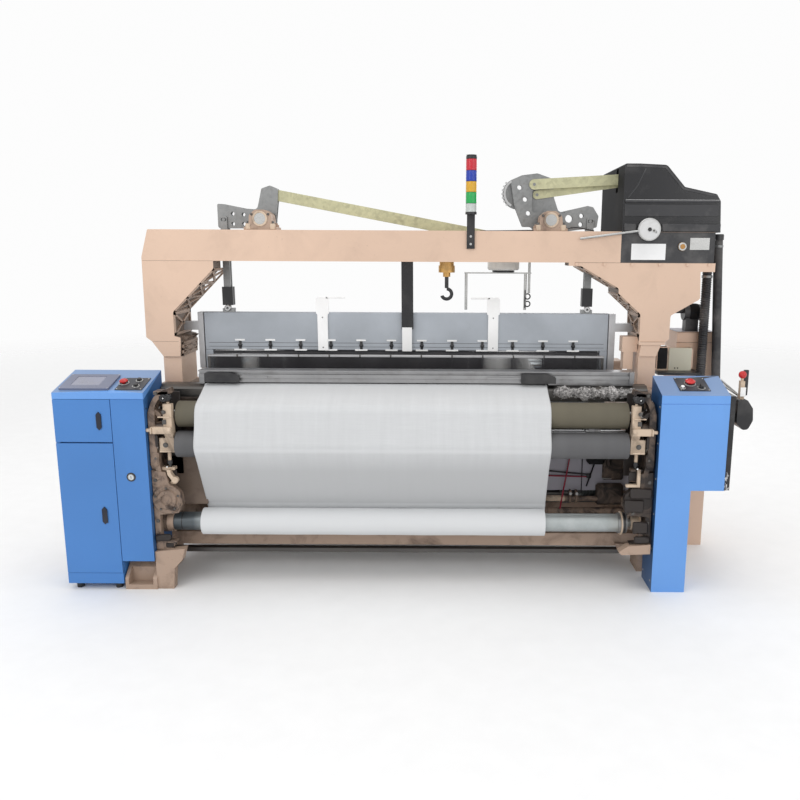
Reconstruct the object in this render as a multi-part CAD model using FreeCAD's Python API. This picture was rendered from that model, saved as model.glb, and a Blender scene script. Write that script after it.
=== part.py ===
import FreeCAD, Part
import math
import os

V = FreeCAD.Vector

# Shuttleless power loom with an overhead arch. Millimetres.
# X runs along the cloth's width, Y from the weaver's side to the warp side, Z up.
# While building, x = 0 is the middle of the weaving width, y = 0 the front of the
# control cabinets and z = 0 the floor. OFFSET below moves the middle of the whole
# machine's footprint to the origin.

# ---- fits ----
RUN_GAP = 0.05            # radial gap of a journal in its bore
SIDE_GAP = 0.5            # gap beside a lever or a link
CLOTH_GAP = 0.5           # gap between cloth and a turning roller

# ---- weaving height ----
CLOTH_HEIGHT = 1008.0     # of the cloth over the breast beam

# ---- side frames and cross members ----
FRAME_INNER = 1230.0      # from the middle to a side frame's inner face
FRAME_THICK = 70.0
FRAME_BELOW_CLOTH = 28.0
FRAME_TOP = CLOTH_HEIGHT - FRAME_BELOW_CLOTH
FRAME_FRONT = 255.0
FRAME_REAR = 1260.0
FRAME_WAIST = 820.0       # height of the frame between arch and back rest
WINDOW = 280.0            # lightening windows
FLANGE_THICK = 30.0       # top flange under the arch
FLANGE_REACH = 68.0       # how far it reaches inwards
FOOT_REACH = 130.0        # foot flange, outwards
FOOT_LENGTH = 140.0
FOOT_THICK = 28.0
ANCHOR_RADIUS = 9.0
ANCHOR_INSET = 50.0       # anchor hole from the foot's outer edge
LEFT_FOOT_HEIGHT = 128.0  # casting that shows under the left cabinet
FRONT_BEAM = (270.0, 60.0, 139.0, 68.0)      # y, depth, z, height
FOOT_RAIL = (262.0, 40.0, 98.0, 22.0)
REAR_BEAM = (1190.0, 60.0, 75.0, 75.0)
MIDDLE_BEAM = (735.0, 60.0, 167.0, 58.0)
GUARD_Y = (763.0, 767.0)  # plate that stands on the middle beam
GUARD_TOP = 790.0
TIE_TUBE_Y = 700.0
TIE_TUBE_Z = 271.0
TIE_TUBE_RADIUS = 30.0
TIE_COLLAR_RADIUS = 38.0

# ---- arch ----
ARCH_FRONT = 350.0
BEAM_DEPTH = 130.0
BEAM_BOTTOM = 1620.0
BEAM_HEIGHT = 155.0
BEAM_LEFT = -1333.0
BEAM_RIGHT = 1091.0
BEAM_WALL = 8.0
CASTING_DEPTH = 260.0     # corner castings, front to back
LEFT_COLUMN = (-1257.0, -1165.0)             # x of the lower column
RIGHT_COLUMN = (1210.0, 1300.0)
LUG_DEPTH = (400.0, 470.0) # bracket on the right column's inner side, y
COLUMN_INSET = 10.0       # lower column behind the casting's front
RIB_THICK = 12.0

# ---- left cabinet ----
LEFT_CABINET_RIGHT = -1235.0
LEFT_CABINET_WIDTH = 436.0
LEFT_CABINET_DEPTH = 255.0
DOOR_WIDTH = 276.0
CABINET_FRONT_HEIGHT = 1002.0
LEFT_CONSOLE_RISE = 72.0
LID_DEPTH = 31.0
LID_SEAM = CABINET_FRONT_HEIGHT - LID_DEPTH
DOOR_SPLIT = 757.0
PLINTH_TOP = 87.0
PLINTH_BOTTOM = 33.0
COVER_BOTTOM = 151.0
SHEET = 3.0
DOOR_THICK = 16.0
DOOR_RECESS = 20.0
DOOR_GAP = 3.5
HINGE_INSET = 8.0
HINGE_PIN_RADIUS = 3.0
LATCH_FRONT = -5.0

# ---- right cabinet ----
RIGHT_CABINET_LEFT = 1243.0
RIGHT_CABINET_WIDTH = 328.0
RIGHT_CABINET_DEPTH = 190.0
RIGHT_LEG_WIDTH = 166.0
RIGHT_STEP_HEIGHT = 530.0
RIGHT_CONSOLE_RISE = 66.0
RIGHT_WING = 29.0

# ---- push buttons ----
PLATE_THICK = 4.0
BUTTON_TRAVEL = 6.0
BUTTON_STEM = 14.0

# ---- rollers: y, z, radius ----
TAKE_UP_BELOW_CLOTH = 129.0
PRESS_BELOW_TAKE_UP = 143.0
TAKE_UP = (110.0, CLOTH_HEIGHT - TAKE_UP_BELOW_CLOTH, 65.0)
PRESS = (72.0, TAKE_UP[1] - PRESS_BELOW_TAKE_UP, 65.0)
CLOTH_ROLL = (127.0, 318.5, 69.0)
BACK_REST = (1190.0, 953.0, 55.0)
WARP_BEAM = (1130.0, 470.0, 320.0)
TAKE_UP_JOURNAL = 22.0
PRESS_JOURNAL = 18.0
BEAM_JOURNAL = 20.0
CLOTH_TUBE_RADIUS = 46.0
COLLAR_RADIUS = 52.0
WARP_TUBE_RADIUS = 90.0
WARP_YARN_RADIUS = 250.0
WARP_FLANGE_THICK = 14.0
BRACKET_THICK = 33.0
ROLLER_INSET = 92.0       # from a bracket's inner face to a roller's end
ROLLER_HALF = FRAME_INNER - BRACKET_THICK - ROLLER_INSET
BLOCK_GAP = 10.0          # between a roller's end and the press roller's block
BLOCK_INSET = 11.0        # between that block and the bracket
PRESS_BLOCK = (ROLLER_HALF + BLOCK_GAP, FRAME_INNER - BRACKET_THICK - BLOCK_INSET)
PRESS_LEVER_WIDTH = 40.0
LEVER_KNOB_RADIUS = 22.0

# ---- cloth ----
CLOTH_LEFT = -1010.0
CLOTH_RIGHT = 724.0
CLOTH_THICK = 2.0
CLOTH_NOSE_Y = 240.0
FELL_Y = 336.0
WARP_START_Y = 572.0

# ---- breast beam and temple rail ----
BREAST_FRONT = 215.0
BREAST_REAR = 300.0
BREAST_HEIGHT = 78.0
BREAST_BOTTOM = CLOTH_HEIGHT - BREAST_HEIGHT
RAIL_FRONT = 235.0
RAIL_DEPTH = 80.0
RAIL_CLEARANCE = 8.0      # above the cloth
RAIL_HEIGHT = 62.0
RAIL_BOTTOM = CLOTH_HEIGHT + RAIL_CLEARANCE
RAIL_TOP = RAIL_BOTTOM + RAIL_HEIGHT
RAIL_ENDS = (-1040.0, 1162.0)
TEMPLE_LENGTH = 175.0
TEMPLE_DEPTH = 22.0

# ---- sley and reed ----
SLEY_Y = 440.0
SLEY_Z = 700.0
SLEY_SHAFT_RADIUS = 30.0
SLEY_BEARING = 40.0       # shaft end inside the frame
SLEY_HALF = 1100.0
SWORD_COUNT = 5
SWORD_SPACING = 500.0
SWORD_THICK = 40.0
REED_BELOW_CLOTH = 23.0
REED_HEIGHT = 149.0
REED_BOTTOM = CLOTH_HEIGHT - REED_BELOW_CLOTH
REED_TOP = REED_BOTTOM + REED_HEIGHT
SLEY_BEAM_HEIGHT = 51.0
REED_THICK = 12.0
REED_GAP_COUNT = 110

# ---- heald frames ----
SHAFT_LEFT = -1080.0
SHAFT_RIGHT = 1075.0
SHAFT_TOP = 1350.0
SHAFT_PANEL = 200.0
SHAFT_BOTTOM = 835.0
SHAFT_THICK = 10.0
SHAFT_PITCH = 14.0
SHAFT_FIRST_Y = 500.0
SHAFT_BORDER = 40.0
HEALD_GAP_COUNT = 100
HEALD_THICK = 2.0
HEALD_GRIP = 5.0          # healds' ends held inside the frame
HOOK_COUNT = 12
HOOK_TOP = 1198.0
HOOK_FIRST_X = -893.0
HOOK_SPACING = 162.2
SHED_TRAVEL = 40.0        # up or down from rest

# ---- levers above the arch ----
PIVOT_Z = 1830.0
LEFT_PIVOT_X = -729.0
RIGHT_PIVOT_X = 737.0
LIFT_ARM = 221.0          # pivot to lift pin
CROSS_ARM = (40.0, 128.0) # pivot to cross rod pin
FRONT_PULL_PIN = (-75.0, 184.0)
REAR_PULL_PIN = (-57.0, 134.0)
GEAR_DISC = (-158.0, 138.0, 78.0)           # on the rear right lever: dx, dz, radius
LEVER_NOTCH = (-84.0, 44.0, 162.0)          # in the front right lever: left dx, low and high dz
LEVER_THICK = 10.0
CHEEK = 8.0               # thickness of links beside a lever
SHAFT_RADIUS = 28.0
PIN_RADIUS = 8.0
CROSS_ROD_HEIGHT = 56.0
CROSS_SLOT_SIDE = 2.5     # room round the right-hand pin, to each side
CROSS_SLOT_RISE = 5.0     # and up and down
FRONT_PULL_HEIGHT = 52.0
REAR_PULL_HEIGHT = 44.0
PULL_ROD_END = 1130.0
FRONT_PULL_SLOPE = 0.06
REAR_PULL_SLOPE = 0.144
LINK_WIDTH = 36.0
SLEEVE_WIDTH = 56.0
SLEEVE_BOTTOM = 1387.0
SLEEVE_TOP = 1483.0

# ---- shedding motion on the right ----
CASE_RIGHT = 1563.0
CASE_TOP = 1772.0
CASE_REAR = 900.0
COVER_WALL = 4.0
COVER_LEFT = 1092.0
COVER_MOUTH = (494.0, 540.0, 1976.0, 2094.0)  # y, y, z, z of the rods' opening
HAND_DISC_X = 1224.0
HAND_DISC_Z = 1785.0
HAND_DISC_RADIUS = 56.0
HAND_ROD_END = (880.0, 1738.0)
HAND_PIN_RADIUS = 10.0

# ---- brake lever at the right end ----
BRAKE_LEFT = 1628.0
BRAKE_RIGHT = 1707.0
BRAKE_Y = 100.0
BRAKE_PIVOT_Z = CABINET_FRONT_HEIGHT - 52.0
BRAKE_BALL_Z = BRAKE_PIVOT_Z + 139.0
BRAKE_BALL_RADIUS = 19.0

# ---- light tower ----
TOWER_X = 332.0
TOWER_RADIUS = 27.5
LENS_STARTS = (1866.0, 1908.0, 1962.0, 2014.0, 2066.0, 2121.0, 2139.0)
POLE_BOTTOM = 1686.0
POLE_WIDTH = 40.0
POLE_THICK = 10.0

# ---- yarn stand, hook and guides ----
STAND_POSTS = (318.0, 641.0)
STAND_HANGER_X = 662.0
STAND_Y = 640.0
STAND_BAR_Z = 1555.0
PACKAGE_X = 520.0
PACKAGE_RADIUS = 87.0
HOOK_X = 212.0
STRAP_X = (-26.0, 36.0)
POST_CENTRES = (-447.0, 461.0)
POST_ARM = 120.0          # post's middle to its arm's end

# ---- hoses and box behind the right cabinet ----
BOX_LEFT = 1488.0
BOX_RIGHT = 1699.0
BOX_FRONT = 640.0
BOX_REAR = 860.0
BOX_TOP = 1242.0
BLOWER_ENDS = (1530.0, 1640.0)
BLOWER_Y = 700.0
BLOWER_Z = 1347.0
BLOWER_RADIUS = 44.0
SPOUT_LENGTH = 62.0
SPOUT_RADIUS = 22.0
HOSE_Y = 600.0
SHELF_TOP = 640.0
RIBBED_X = 1618.0
RIBBED_RADIUS = 26.0
RIBBED_BORE = 19.0
RIBBED_TOP = 1570.0
RIB_PITCH = 12.0
SMOOTH_TOP_X = 1665.0
SMOOTH_BOTTOM_X = 1722.0
SMOOTH_RADIUS = 24.0
SMOOTH_TOP = 1740.0

# ---- the machine's footprint ----
LEFT_CABINET_LEFT = LEFT_CABINET_RIGHT - LEFT_CABINET_WIDTH
REACH_RIGHT = SMOOTH_BOTTOM_X + SMOOTH_RADIUS + 4
REACH_REAR = WARP_BEAM[0] + WARP_BEAM[2]
OFFSET = V(-(LEFT_CABINET_LEFT + REACH_RIGHT) / 2, -(LATCH_FRONT + REACH_REAR) / 2, 0)


# ======================================================================
# Shapes
# ======================================================================

PLACE = {
    "xz": lambda a, b, at: V(a, at, b),
    "yz": lambda a, b, at: V(at, a, b),
    "xy": lambda a, b, at: V(a, b, at),
}
NORMAL = {"xz": V(0, 1, 0), "yz": V(1, 0, 0), "xy": V(0, 0, 1)}
AXES = {"x": V(1, 0, 0), "y": V(0, 1, 0), "z": V(0, 0, 1)}


def box(x0, x1, y0, y1, z0, z1):
    """Block between two corners."""
    return Part.makeBox(x1 - x0, y1 - y0, z1 - z0, V(x0, y0, z0))


def rod(axis, start, end, a, b, radius):
    """Cylinder along an axis; a and b are its place on the other two axes."""
    base = {"x": V(start, a, b), "y": V(a, start, b), "z": V(a, b, start)}[axis]
    return Part.makeCylinder(radius, end - start, base, AXES[axis])


def outline(plane, points, at):
    """Closed wire through points (a, b) or (a, b, corner radius)."""
    put = PLACE[plane]
    corners = []
    count = len(points)
    for i, point in enumerate(points):
        here = V(point[0], point[1], 0)
        radius = point[2] if len(point) > 2 else 0
        if not radius:
            corners.append((here, None, here))
            continue
        before = V(points[i - 1][0], points[i - 1][1], 0) - here
        after = V(points[(i + 1) % count][0], points[(i + 1) % count][1], 0) - here
        before.normalize()
        after.normalize()
        half = before.getAngle(after) / 2
        reach = radius / math.tan(half)
        middle = before + after
        middle.normalize()
        corners.append((here + before * reach,
                        here + middle * (radius / math.sin(half) - radius),
                        here + after * reach))
    edges = []
    for i, (start, middle, end) in enumerate(corners):
        if middle is not None:
            edges.append(Part.Arc(put(start.x, start.y, at), put(middle.x, middle.y, at),
                                  put(end.x, end.y, at)).toShape())
        following = corners[(i + 1) % count][0]
        if (following - end).Length > 1e-6:
            edges.append(Part.LineSegment(put(end.x, end.y, at),
                                          put(following.x, following.y, at)).toShape())
    return Part.Wire(edges)


def slab(plane, points, start, end):
    """Outline in a plane, carried from start to end along the plane's normal."""
    return Part.Face(outline(plane, points, start)).extrude(NORMAL[plane] * (end - start))


def turned(points, axis_point, axis):
    """Outline of (radius, height) points turned round an axis through a point."""
    face = Part.Face(outline("xz", points, 0))
    solid = face.revolve(V(0, 0, 0), V(0, 0, 1), 360)
    turn = FreeCAD.Rotation(V(0, 0, 1), axis)
    solid.Placement = FreeCAD.Placement(axis_point, turn)
    return solid


def join(first, *others):
    """One solid from touching or crossing solids."""
    return first.multiFuse(list(others)).removeSplitter()


def cut(shape, *tools):
    """Shape less the tools."""
    return shape.cut(Part.makeCompound(list(tools)))


def mirrored(shape):
    """The same piece on the other side of x = 0."""
    return shape.mirror(V(0, 0, 0), V(1, 0, 0))


def grating(x0, x1, z0, z1, y0, y1, gaps, border, gap_share=0.62):
    """Thin wall with upright gaps, as of wires in a frame."""
    pitch = (x1 - x0 - 2 * border) / gaps
    holes = []
    for i in range(gaps):
        left = x0 + border + i * pitch + pitch * (1 - gap_share) / 2
        right = left + pitch * gap_share
        holes.append(box(left, right, y0 - 1, y1 + 1, z0 + border, z1 - border))
    return cut(box(x0, x1, y0, y1, z0, z1), *holes)


def save(name, *solids):
    """Write one sub-part, moved so that the footprint's middle is the origin."""
    pieces = []
    for shape in solids:
        pieces.extend(shape.Solids)
    shape = pieces[0].copy() if len(pieces) == 1 else Part.makeCompound(pieces)
    shape.translate(OFFSET)
    shape.exportStep(os.path.join("parts", name + ".step"))


# ======================================================================
# Side frames and cross members
# ======================================================================

def side_frame(side):
    """Cast frame, built on the right and mirrored for the left."""
    inner, outer = FRAME_INNER, FRAME_INNER + FRAME_THICK
    body = slab("yz", [
        (FRAME_FRONT, 0), (FRAME_FRONT + FOOT_LENGTH, 0), (FRAME_FRONT + FOOT_LENGTH, 90, 30),
        (FRAME_REAR - FOOT_LENGTH, 90, 30), (FRAME_REAR - FOOT_LENGTH, 0), (FRAME_REAR, 0),
        (FRAME_REAR, BACK_REST[1] + 60, 20), (FRAME_REAR - FOOT_LENGTH, BACK_REST[1] + 60, 20),
        (FRAME_REAR - FOOT_LENGTH - 60, FRAME_WAIST, 40), (760, FRAME_WAIST, 60),
        (ARCH_FRONT + CASTING_DEPTH + 30, FRAME_TOP), (FRAME_FRONT, FRAME_TOP, 20)], inner, outer)
    windows = [slab("yz", [(y, z, 30), (y + WINDOW, z, 30), (y + WINDOW, z + WINDOW, 30),
                           (y, z + WINDOW, 30)], inner - 1, outer + 1)
               for y, z in ((480, 480), (830, 480))]
    flange = box(inner - FLANGE_REACH, outer, ARCH_FRONT - 20, ARCH_FRONT + CASTING_DEPTH + 20,
                 FRAME_TOP - FLANGE_THICK, FRAME_TOP)
    feet = [box(outer - 1, outer + FOOT_REACH, y, y + FOOT_LENGTH, 0, FOOT_THICK)
            for y in (FRAME_FRONT + 5, FRAME_REAR - FOOT_LENGTH)]
    anchors = [rod("z", -1, FOOT_THICK + 1, outer + FOOT_REACH - ANCHOR_INSET,
                   y + FOOT_LENGTH / 2, ANCHOR_RADIUS)
               for y in (FRAME_FRONT + 5, FRAME_REAR - FOOT_LENGTH)]
    body = cut(join(cut(body, *windows), flange, *feet),
               rod("x", inner - 1, inner + SLEY_BEARING, SLEY_Y, SLEY_Z,
                   SLEY_SHAFT_RADIUS + RUN_GAP),
               rod("x", inner - 1, inner + SLEY_BEARING, BACK_REST[0], BACK_REST[1],
                   BEAM_JOURNAL + RUN_GAP),
               rod("x", inner - 1, inner + SLEY_BEARING, WARP_BEAM[0], WARP_BEAM[1],
                   BEAM_JOURNAL + RUN_GAP), *anchors)
    return mirrored(body) if side < 0 else body


def build_frames():
    left = side_frame(-1)
    foot = slab("yz", [(4, 0), (FRAME_FRONT + 1, 0), (FRAME_FRONT + 1, LEFT_FOOT_HEIGHT),
                       (90, LEFT_FOOT_HEIGHT, 30), (4, 60, 20)], -1389, -FRAME_INNER)
    pocket = box(-1372, -1250, -1, 60, 25, 100)
    save("left_side_frame", join(left, cut(foot, pocket)))
    right = side_frame(1)
    spacer = box(FRAME_INNER + 20, FRAME_INNER + FRAME_THICK, RIGHT_CABINET_DEPTH,
                 FRAME_FRONT + 1, 600, 700)
    save("right_side_frame", join(right, spacer))

    y, depth, z, height = FRONT_BEAM
    front = box(-FRAME_INNER, FRAME_INNER, y, y + depth, z, z + height)
    wedge = slab("xz", [(1109, 158), (1225, 152), (1225, 122), (1125, 122)], y - 22, y + 1)
    front = join(front, wedge)
    y, depth, z, height = FOOT_RAIL
    rail = box(-FRAME_INNER, FRAME_INNER, y, y + depth, z, z + height)
    rear = [box(-FRAME_INNER, FRAME_INNER, y, y + depth, z, z + height)
            for y, depth, z, height in (REAR_BEAM, MIDDLE_BEAM)]
    guard = box(-FRAME_INNER, FRAME_INNER, *GUARD_Y, MIDDLE_BEAM[2] + MIDDLE_BEAM[3] - 1, GUARD_TOP)
    rear[1] = join(rear[1], guard)
    tube = rod("x", -FRAME_INNER, FRAME_INNER, TIE_TUBE_Y, TIE_TUBE_Z, TIE_TUBE_RADIUS)
    collar = rod("x", 880, 936, TIE_TUBE_Y, TIE_TUBE_Z, TIE_COLLAR_RADIUS)
    save("cross_members", front, rail, join(tube, collar), *rear)


# ======================================================================
# Arch
# ======================================================================

def build_arch():
    top = BEAM_BOTTOM + BEAM_HEIGHT
    rear = ARCH_FRONT + BEAM_DEPTH
    beam = slab("xz", [(BEAM_LEFT, BEAM_BOTTOM), (BEAM_RIGHT, BEAM_BOTTOM), (BEAM_RIGHT, top),
                       (BEAM_LEFT + 38, top, 6), (BEAM_LEFT, BEAM_BOTTOM + 18, 6)],
                ARCH_FRONT, rear)
    hollow = box(BEAM_LEFT + 60, BEAM_RIGHT + 1, ARCH_FRONT + BEAM_WALL, rear - BEAM_WALL,
                 BEAM_BOTTOM + BEAM_WALL, top - BEAM_WALL)
    corner = slab("xz", [(BEAM_LEFT, BEAM_BOTTOM), (-1100, BEAM_BOTTOM), (-1100, top - 60),
                         (-1150, top, 10), (BEAM_LEFT + 38, top, 6),
                         (BEAM_LEFT, BEAM_BOTTOM + 18, 6)],
                  rear - 1, ARCH_FRONT + CASTING_DEPTH)
    save("arch_beam", join(cut(beam, hollow), corner))

    back = ARCH_FRONT + CASTING_DEPTH
    left = slab("xz", [(-1333, BEAM_BOTTOM), (-1336, 1230, 6), (-1308, 1209, 6), (-1252, 1130),
                       (-1165, 1130), (-1160, 1205, 8), (-1160, 1229), (-1190, 1237),
                       (-1190, 1361, 20), (-972, 1582, 12), (-972, BEAM_BOTTOM)],
                ARCH_FRONT, back)
    tip = box(-1100, -960, rear, back + 1, 1150, BEAM_BOTTOM + 1)
    column = box(LEFT_COLUMN[0], LEFT_COLUMN[1], ARCH_FRONT + COLUMN_INSET,
                 back - COLUMN_INSET, FRAME_TOP, 1131)
    ribs = [slab("xz", [(-1175, 1139), (-1160, 1206), (-1128, 1229), (-1160, 1232),
                        (-1195, 1232), (-1195, 1139)], y, y + RIB_THICK)
            for y in (ARCH_FRONT + 40, ARCH_FRONT + 120, ARCH_FRONT + 200)]
    save("left_arch_column", join(cut(left, tip), column, *ribs))

    right = slab("xz", [(830, BEAM_BOTTOM), (830, BEAM_BOTTOM - 16), (894, BEAM_BOTTOM - 18),
                        (1089, 1491, 15), (1089, 1466, 10), (1206, 1361, 20), (1206, 1218),
                        (1341, 1218), (1360, 1234, 6), (1361, 1354, 15), (1507, 1439, 20),
                        (1500, 1576), (1573, 1576), (1573, BEAM_BOTTOM)],
                 ARCH_FRONT, back)
    tip = box(820, 1089, rear, back + 1, 1380, BEAM_BOTTOM + 1)
    flange = box(1206, 1340, ARCH_FRONT - 6, back, 1203, 1219)
    pedestal = slab("xz", [(1218, 1204), (1321, 1204), (1298, 1143), (1210, 1143)],
                    ARCH_FRONT, back - COLUMN_INSET)
    column = box(RIGHT_COLUMN[0], RIGHT_COLUMN[1], ARCH_FRONT + COLUMN_INSET,
                 back - COLUMN_INSET, FRAME_TOP, 1144)
    bolts = [rod("y", ARCH_FRONT - 8, ARCH_FRONT + 5, x, BEAM_BOTTOM - 8, 7)
             for x in (870, 1010, 1150, 1290, 1430, 1540)]
    lug = box(1132, RIGHT_COLUMN[0] + 1, *LUG_DEPTH, 1160, 1240)
    peg = box(1140, 1190, LUG_DEPTH[0], LUG_DEPTH[1] - 10, 1070, 1161)
    save("right_arch_column", join(cut(right, tip), flange, pedestal, column, lug, peg, *bolts))


# ======================================================================
# Cabinets and what is on them
# ======================================================================

def on_slope(shape, x, front_height, rise, depth):
    """Place a piece built flat (y up the slope, z off it) on a sloped console top."""
    angle = math.degrees(math.atan2(rise, depth))
    shape = shape.copy()
    shape.rotate(V(0, 0, 0), V(1, 0, 0), angle)
    shape.translate(V(x, 0, front_height))
    return shape


def on_left(shape, x):
    return on_slope(shape, x, CABINET_FRONT_HEIGHT, LEFT_CONSOLE_RISE, LEFT_CABINET_DEPTH)


def on_right(shape, x):
    return on_slope(shape, x, CABINET_FRONT_HEIGHT, RIGHT_CONSOLE_RISE, RIGHT_CABINET_DEPTH)


def push_button(radius, stem, up, head):
    """Button on a console: stem in the plate, head standing off by its travel."""
    base = PLATE_THICK + BUTTON_TRAVEL + 1
    points = [(0, PLATE_THICK - BUTTON_STEM), (stem, PLATE_THICK - BUTTON_STEM), (stem, base),
              (radius * 0.75, base), (radius, base + head * 0.3), (radius, base + head * 0.6),
              (radius * 0.6, base + head), (0, base + head)]
    return turned(points, V(0, up, 0), V(0, 0, 1))


def stem_hole(x, up, stem, where):
    """Blind hole for a button's stem, with room for its travel."""
    depth = BUTTON_STEM + BUTTON_TRAVEL + 1
    hole = rod("z", PLATE_THICK - depth, PLATE_THICK + 1, 0, up, stem + RUN_GAP)
    return where(hole, x)


LEFT_BUTTONS = {
    "left_stop_button": (-1360, 100, 20, 8, 14),
    "start_button": (-1295, 130, 11, 5, 8),
    "jog_button": (-1290, 66, 11, 5, 8),
}
RIGHT_BUTTONS = {
    "right_stop_button": (1404, 112, 24, 8, 15),
    "white_button": (1357, 68, 9, 5, 7),
}
TURN_KNOB = (1448, 70, 14, 5, 16)            # x, up the slope, radius, stem, height


def door(bottom, top, latch_inset, latch_rise):
    """Hinged door with its latch, from its left edge and above or below its middle."""
    left = LEFT_CABINET_LEFT
    right = left + DOOR_WIDTH - 2
    panel = box(left, right, 0, DOOR_THICK, bottom, top)
    hollow = box(left + 16, right - SHEET, SHEET, DOOR_THICK + 1, bottom + 16, top - 16)
    middle = (bottom + top) / 2 + latch_rise
    latch_x = left + latch_inset
    latch = slab("xz", [(latch_x - 12, middle - 32), (latch_x, middle - 45),
                        (latch_x + 12, middle - 32),
                        (latch_x + 12, middle + 32), (latch_x, middle + 45),
                        (latch_x - 12, middle + 32)], LATCH_FRONT, 1)
    body = join(cut(panel, hollow), latch)
    pins = [rod("z", z, z + 14, left + HINGE_INSET, HINGE_INSET, HINGE_PIN_RADIUS + RUN_GAP)
            for z in (bottom - 1, top - 13)]
    return cut(body, *pins)


def build_left_cabinet():
    left, right = LEFT_CABINET_LEFT, LEFT_CABINET_RIGHT
    middle = left + DOOR_WIDTH
    depth = LEFT_CABINET_DEPTH
    height = CABINET_FRONT_HEIGHT
    back_height = height + LEFT_CONSOLE_RISE
    main = slab("yz", [(0, PLINTH_BOTTOM), (0, PLINTH_TOP), (DOOR_RECESS, PLINTH_TOP),
                       (DOOR_RECESS, LID_SEAM), (0, LID_SEAM), (0, height),
                       (depth, back_height), (depth, PLINTH_BOTTOM)], left, middle)
    cover = slab("yz", [(0, COVER_BOTTOM), (0, height), (depth, back_height),
                        (depth, COVER_BOTTOM)], middle, right)
    inside = box(left + SHEET, middle - SHEET, DOOR_RECESS + SHEET, depth - SHEET,
                 PLINTH_TOP + SHEET, LID_SEAM - SHEET)
    cover_inside = box(middle + SHEET, right - SHEET, SHEET, depth - SHEET,
                       COVER_BOTTOM - 1, LID_SEAM - SHEET)
    mouths = [box(left + 20, middle - 20, DOOR_RECESS - 1, DOOR_RECESS + SHEET + 1, z0, z1)
              for z0, z1 in ((DOOR_SPLIT + 20, LID_SEAM - 20), (PLINTH_TOP + 20, DOOR_SPLIT - 20))]
    groove = box(middle, right + 1, -1, 2, LID_SEAM - 2, LID_SEAM + 2)
    seam = box(middle - 1, middle + 2, -1, 2, COVER_BOTTOM - 1, LID_SEAM)
    lock = join(rod("y", -2, 1, -1319, 586, 22), rod("y", -4, 0, -1319, 586, 15))
    lug = box(left, left + 20, 2, DOOR_RECESS + 1, DOOR_SPLIT - 1.5, DOOR_SPLIT + 1.5)
    pin_x, pin_y = left + HINGE_INSET, HINGE_INSET
    pins = [rod("z", z0, z1, pin_x, pin_y, HINGE_PIN_RADIUS)
            for z0, z1 in ((PLINTH_TOP - 1, PLINTH_TOP + DOOR_GAP + 10),
                           (DOOR_SPLIT - DOOR_GAP - 10, DOOR_SPLIT + DOOR_GAP + 10),
                           (LID_SEAM - DOOR_GAP - 10, LID_SEAM + 1))]
    feet = [rod("z", 0, PLINTH_BOTTOM + 1, x, y, 18) for x in (left + 40, middle - 40)
            for y in (40, depth - 40)]
    plate = on_left(box(-65, 65, 30, 162, -1, PLATE_THICK), -1315)
    body = join(cut(join(main, cover), inside, cover_inside, groove, seam, *mouths),
                lock, lug, plate, *pins, *feet)
    holes = [stem_hole(x, up, stem, on_left) for x, up, radius, stem, head in LEFT_BUTTONS.values()]
    save("left_cabinet", cut(body, *holes))

    save("upper_door", door(DOOR_SPLIT + DOOR_GAP, LID_SEAM - DOOR_GAP / 2, 217, 0))
    save("lower_door", door(PLINTH_TOP + DOOR_GAP / 2, DOOR_SPLIT - DOOR_GAP, 209, -31.6))

    bezel = slab("xy", [(-120, 28, 6), (120, 28, 6), (120, 190, 6), (-120, 190, 6)], 0, 10)
    glass = box(-78, 62, 66, 166, 8, 11)
    save("touch_screen", on_left(cut(bezel, glass), -1530))
    for name, (x, up, radius, stem, head) in LEFT_BUTTONS.items():
        save(name, on_left(push_button(radius, stem, up, head), x))


def build_right_cabinet():
    left, depth = RIGHT_CABINET_LEFT, RIGHT_CABINET_DEPTH
    right = left + RIGHT_CABINET_WIDTH
    leg = left + RIGHT_LEG_WIDTH
    height = CABINET_FRONT_HEIGHT
    upper = slab("yz", [(0, RIGHT_STEP_HEIGHT), (0, height), (depth, height + RIGHT_CONSOLE_RISE),
                        (depth, RIGHT_STEP_HEIGHT)], left, right)
    lower = box(left, leg, 0, depth, 0, RIGHT_STEP_HEIGHT + 1)
    inside = box(left + SHEET, right - SHEET, SHEET, depth - SHEET,
                 RIGHT_STEP_HEIGHT + SHEET, LID_SEAM - 12)
    leg_inside = box(left + SHEET, leg - SHEET, SHEET, depth - SHEET, SHEET, RIGHT_STEP_HEIGHT + 4)
    rear_mouth = box(left + 30, leg - 30, depth - SHEET - 1, depth + 1, 60, 560)
    wing = box(right, right + RIGHT_WING, 10, depth - 10, RIGHT_STEP_HEIGHT, height - 3)
    groove = box(left - 1, right + 1, -1, 2, LID_SEAM - 12, LID_SEAM - 8)
    plate = on_right(box(-74, 74, 44, 172, -1, PLATE_THICK), 1413)
    body = join(cut(join(upper, lower), inside, leg_inside, rear_mouth, groove), wing, plate)
    holes = [stem_hole(x, up, stem, on_right)
             for x, up, radius, stem, head in RIGHT_BUTTONS.values()]
    x, up, radius, stem, head = TURN_KNOB
    holes.append(stem_hole(x, up, stem, on_right))
    save("right_cabinet", cut(body, *holes))
    for name, (x, up, radius, stem, head) in RIGHT_BUTTONS.items():
        save(name, on_right(push_button(radius, stem, up, head), x))
    x, up, radius, stem, head = TURN_KNOB
    base = PLATE_THICK + SIDE_GAP
    grip = join(rod("z", PLATE_THICK - BUTTON_STEM, base + 1, 0, up, stem),
                rod("z", base, base + head * 0.5, 0, up, radius),
                box(-radius * 0.3, radius * 0.3, up - radius, up + radius, base + 1, base + head))
    save("turn_knob", on_right(grip, x))


# ======================================================================
# Rollers, their brackets and the cloth
# ======================================================================

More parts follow.
